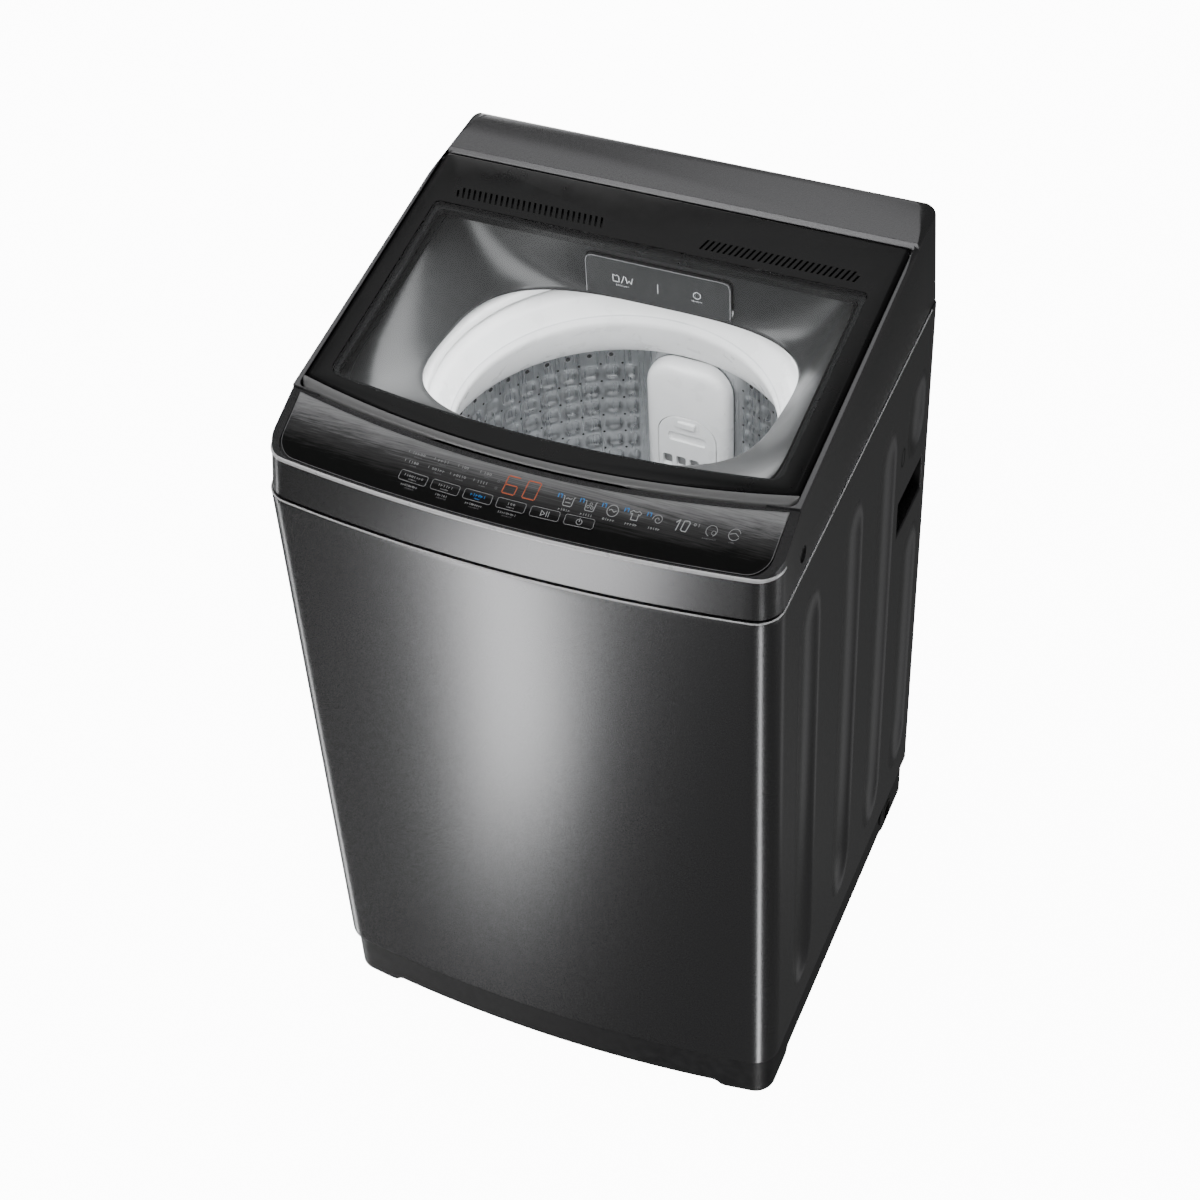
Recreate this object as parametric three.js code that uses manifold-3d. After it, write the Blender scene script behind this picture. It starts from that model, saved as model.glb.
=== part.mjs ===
// A top-loading automatic washing machine with a suspended tub, built as an assembly.
// Frame: millimetres, +Z up, +X to the machine's right, the rear at +Y, and the origin
// on the floor in the middle of the machine's box.
import * as THREE from 'three';
import { mergeVertices } from 'three/addons/utils/BufferGeometryUtils.js';
import Module from 'manifold-3d';

const wasm = await Module();
wasm.setup();

// ---------- driving dimensions ----------
const WIDTH = 560;
const DEPTH = 543;
const HEIGHT = 948;
const HALF_WIDTH = WIDTH / 2;
const FRONT = -DEPTH / 2;
const REAR = DEPTH / 2;
const FRONT_BOW = 22;
const FRONT_CORNER = 30;
const REAR_CORNER = 6;
const GAP = 0.3;
const ROUND = 36;

const PLINTH_INSET = 5.4;
const PLINTH_TOP = 70.2;
const CABINET_BASE = 70.5;
const SHEET = 1.2;
const SEAM_FRONT = 810.5;
const SEAM_REAR = 824.8;
const FLUTE_CENTRES = [-147, -8, 110, 214];
const FLUTE_BASE = 118;
const FLUTE_TOP = 758;
const HANDLE = { y: 202, z: 591, length: 93, height: 52, depth: 22 };

const COVER_WALL = 4;
const SIDE_TAPER = 0.0576;
const FRONT_TAPER = 0.19;
const PANEL_FOOT = { y: -262, z: 859 };
const PANEL_SLOPE = 0.43;
const LID_POINT = { y: -137, z: 899.1 };
const LID_SLOPE = 0.129;
const LID_THICK = 12;
const LID_HALF = 268.5;
const LID_REAR = 195;
const LID_PIVOT = { y: 190, drop: 7, radius: 2.8 };
const CONSOLE_FRONT = 206;
const KEY_XS = [-109, -73, -37, -1, 35, 71];
const KEY_U = -236.5;
const KEY_NAMES = ['water_temp', 'program', 'process', 'set', 'start_pause', 'power'];

const TUB_Y = 16;
const TUB_RADIUS = 238;
const TUB_BASE = 246;
const TUB_TOP = 775;
const DRUM_RADIUS = 213.5;
const DRUM_BASE = 285;
const DRUM_TOP = 707.5;
const FILTER_TURN = -0.043;
const SUSPENSION = { x: 238, y: 221, lugBase: 330, washer: 204, bracket: 786 };
const MOTOR = { x: -118, y: -62 };
const PULLEY_BASE = 97;

// ---------- solids from three.js geometry ----------
function solid(geometry) {
  const bare = geometry.clone();
  bare.deleteAttribute('normal');
  bare.deleteAttribute('uv');
  const merged = mergeVertices(bare, 1e-4);
  const index = merged.index.array;
  const faces = [];
  for (let i = 0; i < index.length; i += 3) {
    const [a, b, c] = [index[i], index[i + 1], index[i + 2]];
    if (a !== b && b !== c && c !== a) faces.push(a, b, c);
  }
  return new wasm.Manifold(new wasm.Mesh({
    numProp: 3,
    vertProperties: new Float32Array(merged.attributes.position.array),
    triVerts: new Uint32Array(faces),
  }));
}

function geometryOf(body) {
  const mesh = body.getMesh();
  const geometry = new THREE.BufferGeometry();
  geometry.setAttribute('position', new THREE.BufferAttribute(new Float32Array(mesh.vertProperties), 3));
  geometry.setIndex(new THREE.BufferAttribute(new Uint32Array(mesh.triVerts), 1));
  geometry.computeVertexNormals();
  return geometry;
}

const union = (...bodies) => bodies.reduce((sum, body) => sum.add(body));
const without = (body, ...cutters) => cutters.reduce((rest, cutter) => rest.subtract(cutter), body);

function moved(body, x, y, z) {
  return body.translate([x, y, z]);
}

function reshaped(geometry, move) {
  const position = geometry.attributes.position;
  const point = new THREE.Vector3();
  for (let i = 0; i < position.count; i += 1) {
    point.fromBufferAttribute(position, i);
    move(point);
    position.setXYZ(i, point.x, point.y, point.z);
  }
  return geometry;
}

function prismGeometry(points, z0, z1, holes = []) {
  const shape = new THREE.Shape(points);
  holes.forEach((hole) => shape.holes.push(new THREE.Path(hole)));
  const geometry = new THREE.ExtrudeGeometry(shape, { depth: z1 - z0, bevelEnabled: false });
  return geometry.translate(0, 0, z0);
}

const prism = (points, z0, z1, holes) => solid(prismGeometry(points, z0, z1, holes));

// A (y, z) profile drawn out along X, in steps where the result is bent afterwards.
function sideGeometry(profile, x0, x1, steps = 1) {
  const shape = new THREE.Shape(profile.map(([y, z]) => new THREE.Vector2(y, z)));
  const geometry = new THREE.ExtrudeGeometry(shape, { depth: x1 - x0, steps, bevelEnabled: false });
  const toSide = new THREE.Matrix4().makeBasis(
    new THREE.Vector3(0, 1, 0),
    new THREE.Vector3(0, 0, 1),
    new THREE.Vector3(1, 0, 0),
  );
  return geometry.applyMatrix4(toSide).translate(x0, 0, 0);
}

const sideSolid = (profile, x0 = -320, x1 = 320) => solid(sideGeometry(profile, x0, x1));

// An (x, z) profile drawn out along Y.
function frontSolid(profile, y0, y1) {
  const shape = new THREE.Shape(profile.map(([x, z]) => new THREE.Vector2(x, z)));
  const geometry = new THREE.ExtrudeGeometry(shape, { depth: y1 - y0, bevelEnabled: false });
  const toFront = new THREE.Matrix4().makeBasis(
    new THREE.Vector3(1, 0, 0),
    new THREE.Vector3(0, 0, 1),
    new THREE.Vector3(0, -1, 0),
  );
  return solid(geometry.applyMatrix4(toFront).translate(0, y1, 0));
}

function box(x0, x1, y0, y1, z0, z1) {
  const geometry = new THREE.BoxGeometry(x1 - x0, y1 - y0, z1 - z0);
  return solid(geometry.translate((x0 + x1) / 2, (y0 + y1) / 2, (z0 + z1) / 2));
}

// A closed (radius, z) profile turned about Z.
function turned(profile, sides = ROUND) {
  const points = profile.map(([r, z]) => new THREE.Vector2(r, z));
  const closes = profile[0][0] > 0 || profile[profile.length - 1][0] > 0;
  if (closes) points.push(points[0].clone());
  return solid(new THREE.LatheGeometry(points, sides).rotateX(Math.PI / 2));
}

function rod(radius, z0, z1, sides = 16) {
  return turned([[0, z0], [radius, z0], [radius, z1], [0, z1]], sides);
}

function rodAlongX(radius, x0, x1, y, z, sides = 16) {
  return moved(rod(radius, x0, x1, sides).rotate([0, 90, 0]), 0, y, z);
}

function rodAlongY(radius, y0, y1, x, z, sides = 16) {
  return moved(rod(radius, y0, y1, sides).rotate([-90, 0, 0]), x, 0, z);
}

// ---------- outlines ----------
function arc(cx, cy, radius, from, to, steps) {
  const points = [];
  for (let i = 0; i <= steps; i += 1) {
    const angle = from + ((to - from) * i) / steps;
    points.push(new THREE.Vector2(cx + radius * Math.cos(angle), cy + radius * Math.sin(angle)));
  }
  return points;
}

function distinct(points) {
  return points.filter((point, i) => point.distanceTo(points[(i + 1) % points.length]) > 1e-4);
}

// A plan outline with a bowed front edge, anticlockwise: apex at y = front, corners at front + bow.
function bowedPlan({ half, front, rear, bow, corner, rearCorner = 4, rearBow = 0, steps = 8 }) {
  const radius = (half * half + bow * bow) / (2 * bow);
  const centre = front + radius;
  const reach = radius - corner;
  const spread = Math.asin((half - corner) / reach);
  const cornerY = centre - reach * Math.cos(spread);
  const down = -Math.PI / 2;
  const rearEdge = [];
  for (let i = 1; i < steps && rearBow > 0; i += 1) {
    const x = (half - rearCorner) * (1 - (2 * i) / steps);
    rearEdge.push(new THREE.Vector2(x, rear + rearBow * (x / half) ** 2));
  }
  const cornerRear = rear + rearBow;
  return distinct([
    ...arc(-half + corner, cornerY, corner, Math.PI, 2 * Math.PI + down - spread, 4),
    ...arc(0, centre, radius, down - spread, down + spread, steps),
    ...arc(half - corner, cornerY, corner, down + spread, 0, 4),
    ...arc(half - rearCorner, cornerRear - rearCorner, rearCorner, 0, Math.PI / 2, 2),
    ...rearEdge,
    ...arc(-half + rearCorner, cornerRear - rearCorner, rearCorner, Math.PI / 2, Math.PI, 2),
  ]);
}

function bodyPlan(inset = 0, rear = REAR) {
  return bowedPlan({
    half: HALF_WIDTH - inset,
    front: FRONT + inset,
    rear: rear - inset,
    bow: FRONT_BOW,
    corner: Math.max(FRONT_CORNER - inset, 3),
    rearCorner: Math.max(REAR_CORNER - inset, 2),
  });
}

function roundedRectangle(width, height, radius, steps = 3) {
  const x = width / 2 - radius;
  const y = height / 2 - radius;
  return distinct([
    ...arc(x, -y, radius, -Math.PI / 2, 0, steps),
    ...arc(x, y, radius, 0, Math.PI / 2, steps),
    ...arc(-x, y, radius, Math.PI / 2, Math.PI, steps),
    ...arc(-x, -y, radius, Math.PI, 1.5 * Math.PI, steps),
  ]);
}

// ---------- surfaces that several parts share ----------
const seamZ = (y) => SEAM_FRONT + ((SEAM_REAR - SEAM_FRONT) * (y + 249)) / 520;
const lidZ = (y) => LID_POINT.z + LID_SLOPE * (y - LID_POINT.y);
const panelZ = (u) => PANEL_FOOT.z + PANEL_SLOPE * (u - PANEL_FOOT.y);

// The upper cover draws in as it rises: a little at the sides, more at the front.
function tapered(geometry) {
  return reshaped(geometry, (p) => {
    const rise = Math.max(p.z - SEAM_FRONT, 0);
    const pull = p.y < 0 ? (p.y / FRONT) * FRONT_TAPER * rise : 0;
    p.x *= 1 - (SIDE_TAPER * rise) / HALF_WIDTH;
    p.y += pull;
  });
}

const taperedPrism = (points, z0, z1) => solid(tapered(prismGeometry(points, z0, z1)));

// A side profile whose shape follows the bow of the front.
function bentSolid(profile) {
  const geometry = sideGeometry(profile, -300, 300, 10);
  return solid(reshaped(geometry, (p) => {
    p.y += FRONT_BOW * (p.x / HALF_WIDTH) ** 2;
  }));
}

function slopedLayer(low, high, y0 = -330, y1 = 330) {
  return sideSolid([
    [y0, lidZ(y0) + low],
    [y1, lidZ(y1) + low],
    [y1, lidZ(y1) + high],
    [y0, lidZ(y0) + high],
  ]);
}

function panelLayer(low, high) {
  return bentSolid([
    [-330, panelZ(-330) + low],
    [-170, panelZ(-170) + low],
    [-170, panelZ(-170) + high],
    [-330, panelZ(-330) + high],
  ]);
}

// ---------- cabinet ----------
// A boat-shaped groove whose axis lies outside the wall, so it fades out at both ends.
function flute(z0, z1, grow) {
  const deep = 64 + grow;
  const run = Math.min(68, (z1 - z0) * 0.4);
  return turned([
    [0, z0 - grow],
    [deep - 9.5, z0 - grow],
    [deep, z0 + run],
    [deep, z1 - run],
    [deep - 9.5, z1 + grow],
    [0, z1 + grow],
  ], 24);
}

function fluteSpans(centre) {
  if (centre < HANDLE.y) return [[FLUTE_BASE, FLUTE_TOP]];
  return [[FLUTE_BASE, 532], [650, FLUTE_TOP]];
}

function flutes(grow) {
  const offset = HALF_WIDTH + 56;
  const all = [];
  FLUTE_CENTRES.forEach((y) => {
    fluteSpans(y).forEach(([z0, z1]) => {
      const groove = flute(z0, z1, grow);
      all.push(moved(groove, offset, y, 0), moved(groove, -offset, y, 0));
    });
  });
  return union(...all);
}

function aboveSeam(clearance) {
  return sideSolid([
    [-300, seamZ(-300) + clearance],
    [300, seamZ(300) + clearance],
    [300, 1000],
    [-300, 1000],
  ]);
}

function cabinet() {
  const rear = REAR - 1.6;
  const top = SEAM_REAR + 6;
  const skin = without(prism(bodyPlan(0, rear), CABINET_BASE, top), flutes(0));
  const innerPlan = bodyPlan(SHEET, rear);
  const inside = without(prism(innerPlan, CABINET_BASE - 5, top + 5), flutes(SHEET));
  const baseFlange = prism(bodyPlan(0.6, rear), CABINET_BASE, CABINET_BASE + SHEET, [
    bodyPlan(20, rear),
  ]);
  const brackets = [-1, 1].flatMap((side) => [-1, 1].map((end) => {
    const y = TUB_Y + end * SUSPENSION.y;
    const reach = end > 0 ? [214, REAR] : [-262, -182];
    const low = SUSPENSION.bracket;
    const x = side > 0 ? [212, 279] : [-279, -212];
    const plate = box(x[0], x[1], reach[0], reach[1], low, low + 2);
    return without(plate, moved(rod(6, low - 5, low + 5), side * SUSPENSION.x, y, 0));
  }));
  const fitted = union(...brackets).intersect(prism(bodyPlan(SHEET - 0.4, rear), 700, 850));
  const grip = box(-300, 300, HANDLE.y - HANDLE.length / 2, HANDLE.y + HANDLE.length / 2,
    HANDLE.z - HANDLE.height / 2, HANDLE.z + HANDLE.height / 2);
  const rearOpening = box(-243, 243, 230, 300, 92, 780);
  const shell = union(without(skin, inside), baseFlange, fitted);
  return without(shell, rearOpening, grip, aboveSeam(0));
}

function rearPanel() {
  const plate = frontSolid([[-262, 76], [262, 76], [262, 806], [-262, 806]], REAR - 1.3, REAR);
  const press = (grow) => [-150, 0, 150].map((x) => {
    const groove = turned([
      [0, 150 - grow],
      [52 + grow, 150 - grow],
      [58 + grow, 190],
      [58 + grow, 700],
      [52 + grow, 740 + grow],
      [0, 740 + grow],
    ], 24);
    return moved(groove, x, REAR + 52, 0);
  });
  const inner = union(...press(1.3)).intersect(box(-262, 262, 240, REAR - 0.5, 76, 806));
  const glandHole = rodAlongY(9.4, 255, 280, -215, 130);
  return without(union(plate, inner), ...press(0), glandHole);
}

function carryHandle(side) {
  const { y, z, length, height, depth } = HANDLE;
  const outer = HALF_WIDTH - 0.2;
  const cup = box(outer - depth, outer, y - length / 2 + GAP, y + length / 2 - GAP,
    z - height / 2 + GAP, z + height / 2 - GAP);
  const hollow = sideSolid([
    [y - length / 2 + 2.4, z - height / 2 + 2.4],
    [y + length / 2 - 2.4, z - height / 2 + 2.4],
    [y + length / 2 - 2.4, z + height / 2 - 2.4],
    [y - length / 2 + 2.4, z + height / 2 - 2.4],
  ], outer - depth + 2.2, outer + 5);
  const handle = without(cup, hollow);
  return side > 0 ? handle : handle.mirror([1, 0, 0]);
}

// ---------- base ----------
function plinth() {
  const outer = prism(bodyPlan(PLINTH_INSET), 3, PLINTH_TOP);
  const inner = prism(bodyPlan(PLINTH_INSET + 4), -5, PLINTH_TOP + 5);
  const topFlange = prism(bodyPlan(PLINTH_INSET), PLINTH_TOP - 4, PLINTH_TOP, [
    bodyPlan(PLINTH_INSET + 26),
  ]);
  const blocks = [-1, 1].flatMap((side) => [-1, 1].map((end) => {
    const x = side > 0 ? [212, 276] : [-276, -212];
    const y = end > 0 ? [220, 268] : [-262, -190];
    return box(x[0], x[1], y[0], y[1], end > 0 ? 3 : 16, PLINTH_TOP - 2);
  }));
  const corners = union(...blocks).intersect(prism(bodyPlan(PLINTH_INSET + 1), 0, PLINTH_TOP));
  const pads = [-1, 1].map((side) => moved(rod(17, 0, 20), side * 244, 238, 0));
  const stems = [-1, 1].map((side) => moved(rod(6.4, 0, 44), side * 240, -215, 0));
  const underside = union(
    box(-214, 214, -300, 300, -5, 11.4),
    box(-300, 300, -188, 186, -5, 11.4),
  );
  const body = union(without(outer, inner), topFlange, corners);
  const drainHole = rodAlongX(17, 240, 300, 195, 42);
  return without(union(without(body, underside), ...pads), ...stems, drainHole);
}

function foot() {
  return turned([
    [0, 0], [19, 0], [21, 3], [21, 9], [6, 13], [6, 40], [0, 40],
  ], 12);
}

function drainOutlet() {
  const pipe = rodAlongX(16, 236, 279.4, 195, 42);
  const flange = rodAlongX(22, 274.9, 277.6, 195, 42);
  return without(union(pipe, flange), rodAlongX(12.5, 230, 285, 195, 42));
}

function powerGland() {
  const stem = rodAlongY(9, 256, REAR, -215, 130);
  const nut = rodAlongY(13, 258, 263, -215, 130, 6);
  return without(union(stem, nut), rodAlongY(4.2, 250, 280, -215, 130));
}

// ---------- upper cover ----------
function consoleProfile() {
  const side = arc(248, 929, 1, 0, Math.PI / 2, 6).map((p) => [
    248 + (p.x - 248) * 26.5,
    929 + (p.y - 929) * 19,
  ]);
  const mirrored = side.map(([x, z]) => [-x, z]).reverse();
  return [[-310, 780], [310, 780], [310, 928.9], ...side, ...mirrored, [-310, 928.9]];
}

function topSurfaceCuts() {
  const abovePanel = bentSolid([
    [-340, panelZ(-340)],
    [-190, panelZ(-190)],
    [-190, 1000],
    [-340, 1000],
  ]);
  const aboveRim = sideSolid([
    [-230, lidZ(-230) - 1.5],
    [CONSOLE_FRONT, lidZ(CONSOLE_FRONT) - 1.5],
    [CONSOLE_FRONT, 1000],
    [-230, 1000],
  ]);
  const aboveConsole = sideSolid([
    [CONSOLE_FRONT - 1, 938.8],
    [267, HEIGHT],
    [REAR + 5, HEIGHT - 5],
    [300, 1000],
    [CONSOLE_FRONT - 1, 1000],
  ]);
  return [abovePanel, aboveRim, aboveConsole];
}

function coverHollow() {
  const shell = taperedPrism(bodyPlan(COVER_WALL), 780, 960);
  const front = bentSolid([
    [-340, 770],
    [-180, 770],
    [-180, panelZ(-180) - 8],
    [-340, panelZ(-340) - 8],
  ]);
  const main = sideSolid([
    [-210, 770],
    [290, 770],
    [290, 944],
    [267, 944],
    [CONSOLE_FRONT + 4, 935],
    [CONSOLE_FRONT + 4, lidZ(CONSOLE_FRONT) - 25],
    [-210, lidZ(-210) - 25],
  ]);
  const rounded = frontSolid(consoleProfile().map(([x, z]) => [x * 0.985, z - 3.5]), -340, 340);
  return shell.intersect(union(front, main)).intersect(rounded);
}

const panelPlan = (grow) => bowedPlan({
  half: 264.6 + grow,
  front: -257.6 - grow,
  rear: -202.4 + grow,
  bow: 19.6,
  rearBow: 30,
  corner: 22 + grow,
  rearCorner: 3,
});

const lidPlan = (grow, rear = LID_REAR) => bowedPlan({
  half: LID_HALF + grow,
  front: -196.5 - grow,
  rear: rear + grow,
  bow: 29.5,
  corner: 9,
  rearCorner: 6,
});

function topCover() {
  const body = taperedPrism(bodyPlan(0), 795, 960).intersect(frontSolid(consoleProfile(), -340, 340));
  const outer = without(body, ...topSurfaceCuts());
  const belowSeam = sideSolid([
    [-300, seamZ(-300) + GAP],
    [-300, 700],
    [300, 700],
    [300, seamZ(300) + GAP],
  ]);
  const lidPocket = prism(lidPlan(0.8, CONSOLE_FRONT - 2), 760, 1000).intersect(slopedLayer(-20, 90));
  const deckHole = prism(bowedPlan({
    half: 259, front: -180, rear: 197, bow: 24, corner: 14, rearCorner: 10,
  }), 760, 1000);
  const panelPocket = prism(panelPlan(0.7), 800, 1000).intersect(panelLayer(-3.3, 60));
  const electronicsWindow = prism(bowedPlan({
    half: 150, front: -250, rear: -212, bow: 6, corner: 4,
  }), 800, 1000);
  const trimCut = without(
    taperedPrism(bodyPlan(-2), 856.4, 860.2),
    taperedPrism(bodyPlan(2.9), 850, 870),
    box(-300, 300, -221.7, 300, 840, 880),
  );
  const rearWindow = box(-229, 229, 262, 280, 838, 926);
  const pinHoles = [-1, 1].map((side) => {
    const x = side > 0 ? [262, 271.4] : [-271.4, -262];
    return rodAlongX(3.3, x[0], x[1], LID_PIVOT.y, lidZ(LID_PIVOT.y) - LID_PIVOT.drop);
  });
  return without(outer, coverHollow(), belowSeam, lidPocket, deckHole, panelPocket,
    electronicsWindow.intersect(panelLayer(-30, 60)), trimCut, rearWindow, ...pinHoles);
}

function chromeTrim() {
  return without(
    taperedPrism(bodyPlan(-0.4), 856.7, 859.8),
    taperedPrism(bodyPlan(2.6), 850, 870),
    box(-300, 300, -222, 300, 840, 880),
  );
}

function consoleBack() {
  const plate = box(-228.6, 228.6, 256, 259, 838.4, 925.6);
  const frame = box(-228.6, 228.6, 256, REAR - 0.5, 838.4, 925.6);
  const recess = box(-225.6, 225.6, 259, 280, 841.4, 922.6);
  const holes = [-40, 40].map((x) => rodAlongY(14, 250, 280, x, 884));
  return without(union(plate, without(frame, recess)), ...holes);
}

// ---------- controls ----------
const keyTilt = Math.atan(PANEL_SLOPE);

function keyPlace(x) {
  const y = KEY_U + FRONT_BOW * (x / HALF_WIDTH) ** 2;
  const yaw = Math.atan((2 * FRONT_BOW * x) / HALF_WIDTH ** 2);
  return {
    position: new THREE.Vector3(x, y, panelZ(KEY_U)),
    rotation: new THREE.Euler(keyTilt, 0, yaw),
  };
}

function keyCap(grow, z0, z1) {
  return prismGeometry(roundedRectangle(31 + grow, 11.5 + grow, 2.4, 2), z0, z1);
}

function controlPanel() {
  const body = prism(panelPlan(0), 800, 1000).intersect(panelLayer(-3, 0));
  const holes = KEY_XS.map((x) => {
    const place = keyPlace(x);
    const matrix = new THREE.Matrix4().compose(
      place.position,
      new THREE.Quaternion().setFromEuler(place.rotation),
      new THREE.Vector3(1, 1, 1),
    );
    return solid(keyCap(0.7, -10, 10).applyMatrix4(matrix));
  });
  return without(body, ...holes);
}

function controlBoard() {
  const housing = bentSolid([
    [-246, panelZ(-246) - 10],
    [-216, panelZ(-216) - 10],
    [-216, panelZ(-216) - 26],
    [-246, panelZ(-246) - 26],
  ].reverse());
  return housing.intersect(box(-140, 140, -300, -100, 800, 900));
}

// ---------- lid ----------
function ventSlots() {
  const slots = [];
  for (let i = 0; i < 27; i += 1) {
    const x = 55 + i * 6.5;
    const short = i === 26 ? 5 : 0;
    [-1, 1].forEach((side) => {
      const points = [
        [x, 132], [x + 2.6, 132], [x + 7.2 - short * 0.3, 147 - short], [x + 4.6 - short * 0.3, 147 - short],
      ].map(([px, py]) => new THREE.Vector2(side * px, py));
      slots.push(prism(side > 0 ? points : points.reverse(), 880, 980));
    });
  }
  return slots;
}

const windowPlan = (grow) => bowedPlan({
  half: 240 + grow, front: -157.5 - grow, rear: 115 + grow, bow: 19.5, corner: 10 + grow, rearCorner: 6,
});

function lidFrame() {
  const plate = prism(bowedPlan({
    half: LID_HALF, front: -187.6, rear: LID_REAR, bow: 34, corner: 4, rearCorner: 6,
  }), 780, 1000).intersect(slopedLayer(-LID_THICK, 0));
  const rounded = frontSolid(consoleProfile().map(([x, z]) => [x * 0.985, z]), -340, 340);
  const glassSeat = prism(windowPlan(6.3), 700, 1000).intersect(slopedLayer(-4.3, 50));
  const holes = [-1, 1].map((side) => {
    const x = side > 0 ? [255, 275] : [-275, -255];
    return rodAlongX(3.1, x[0], x[1], LID_PIVOT.y, lidZ(LID_PIVOT.y) - LID_PIVOT.drop);
  });
  return without(plate.intersect(rounded), prism(windowPlan(0), 700, 1000), glassSeat,
    ...holes, ...ventSlots());
}

function lidGlass() {
  return prism(windowPlan(6), 700, 1000).intersect(slopedLayer(-4, 0));
}

function lidHandle() {
  const outline = prism(lidPlan(0, 60), 780, 1000);
  const behind = prism(bowedPlan({
    half: LID_HALF + 2, front: -188.4, rear: 100, bow: 34.5, corner: 3,
  }), 700, 1100);
  const scoop = prism(bowedPlan({
    half: 118, front: -204, rear: -150, bow: 5.5, corner: 10,
  }), 700, 1000).intersect(slopedLayer(-30, -5));
  return without(outline.intersect(slopedLayer(-LID_THICK, -0.6)), behind, scoop);
}

function lidPin(side) {
  const x = side > 0 ? [256, 271] : [-271, -256];
  return rodAlongX(LID_PIVOT.radius, x[0], x[1], LID_PIVOT.y, lidZ(LID_PIVOT.y) - LID_PIVOT.drop);
}

// ---------- deck and dispenser ----------
// A ring of the bowl: a squared oval that tightens from the lid window down to the mouth.
function bowl(grow, from, to) {
  const circle = new THREE.Shape(arc(0, 0, 1, 0, 2 * Math.PI * (39 / 40), 39));
  const geometry = new THREE.ExtrudeGeometry(circle, { depth: 1, steps: 3, bevelEnabled: false });
  return solid(reshaped(geometry, (p) => {
    const t = to + (from - to) * p.z;
    const inside = THREE.MathUtils.clamp(t, 0, 1);
    const power = THREE.MathUtils.lerp(9, 3.2, inside);
    const a = THREE.MathUtils.lerp(236, 193, inside) + grow;
    const b = THREE.MathUtils.lerp(155, 144, inside) + grow;
    const angle = Math.atan2(p.y, p.x);
    const squash = (value) => Math.sign(value) * Math.abs(value) ** (2 / power);
    p.x = a * squash(Math.cos(angle));
    const y = THREE.MathUtils.lerp(-2, 14, inside) + b * squash(Math.sin(angle));
    const top = lidZ(y) - 17;
    const mouth = 843.8 - 0.118 * y;
    p.z = top + (mouth - top) * t;
    p.y = y;
  }));
}

function innerDeck() {
  const seat = prism(lidPlan(0.4, CONSOLE_FRONT - 2.5), 700, 1000).intersect(slopedLayer(-19.7, -16.2));
  const bowlWall = bowl(3, 0, 1.12);
  const hollow = bowl(0, -0.3, 1.4);
  const drawerHole = box(-86.5, 86.5, 120, 230, 828.5, 885);
  const pocket = prism(bowedPlan({
    half: 235, front: -150, rear: 152, bow: 1, corner: 30, rearCorner: 30,
  }), 880, 1000);
  return without(union(seat, bowlWall), hollow, drawerHole, pocket.intersect(slopedLayer(-17, 40)));
}

function dispenserDrawer() {
  const front = frontSolid(roundedRectangle(170, 52, 8).map((p) => [p.x, p.y + 857]), 147.5, 151.5);
  const tray = without(
    box(-80, 80, 151.5, 246, 840, 872),
    box(-77.5, -1.2, 153.5, 243.5, 842.5, 890),
    box(1.2, 77.5, 153.5, 243.5, 842.5, 890),
  );
  return union(front, moved(tray, 0, -0.5, 0));
}

function dispenserHousing() {
  const outer = box(-90, 90, 163, 254, 834, 892);
  const hollow = box(-84, 84, 140, 250.5, 837, 880);
  const inlets = [-40, 40].map((x) => moved(rod(7, 870, 900), x, 236, 0));
  return without(outer, hollow, ...inlets);
}

// A twin solenoid valve: one body with a hot and a cold threaded inlet, and a spout each.
function inletValve() {
  const inlets = [-40, 40].map((x) => without(
    rodAlongY(13, 244, 271, x, 884),
    rodAlongY(8.5, 262, 280, x, 884),
  ));
  const coils = [-40, 40].map((x) => box(x - 14, x + 14, 226, 250, 896, 924));
  const bridge = box(-54, 54, 228, 250, 893.5, 900);
  const necks = [-40, 40].map((x) => box(x - 11, x + 11, 254.5, 255.6, 884, 900));
  const uprights = [-40, 40].map((x) => box(x - 10, x + 10, 254.5, 255.8, 876, 905));
  const shelf = box(-54, 54, 249, 255.8, 896, 905);
  return union(bridge, ...coils, shelf, ...uprights, ...necks, ...inlets.map((inlet) => without(
    inlet,
    box(-60, 60, 240, 254.4, 870, 893),
  )));
}

function lidSwitch() {
  const body = box(238, 256, 196, 204, 895, 912);
  const lever = box(243, 247, 188, 197, 904, 908);
  return union(body, lever);
}

// ---------- tub and drum, turned about the tub's own axis ----------
function outerTub() {
  const wall = turned([
    [TUB_RADIUS - 3.5, TUB_BASE + 4],
    [34, TUB_BASE + 4],
    [34, TUB_BASE],
    [TUB_RADIUS, TUB_BASE],
    [TUB_RADIUS, TUB_TOP],
    [TUB_RADIUS - 3.5, TUB_TOP],
  ]);
  const lugs = [-1, 1].flatMap((sx) => [-1, 1].map((sy) => {
    const angle = (Math.atan2(sy * SUSPENSION.y, sx * SUSPENSION.x) * 180) / Math.PI;
    const base = SUSPENSION.lugBase;
    const arm = box(236, 341, -16, 16, base, base + 12);
    const web = box(236, 300, -3, 3, base + 6, base + 60);
    const gusset = without(web, sideWedge(base));
    const lug = union(arm, gusset);
    const hole = moved(rod(7, base - 5, base + 20), Math.hypot(SUSPENSION.x, SUSPENSION.y), 0, 0);
    return without(lug, hole).rotate([0, 0, angle]);
  }));
  const drain = moved(rod(15, TUB_BASE - 10, TUB_BASE + 20), 96, 118, 0);
  return without(union(wall, ...lugs), drain);
}

function sideWedge(base) {
  return frontSolid([[236, base + 61], [302, base + 10], [302, base + 61]], -10, 10);
}

function tubCover() {
  return turned([
    [236, TUB_TOP + GAP],
    [240, TUB_TOP + GAP],
    [240, 790],
    [222, 812],
    [208, 820],
    [198, 818],
    [198, 808],
    [206, 813],
    [219, 807],
    [236, 788],
  ]);
}

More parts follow.
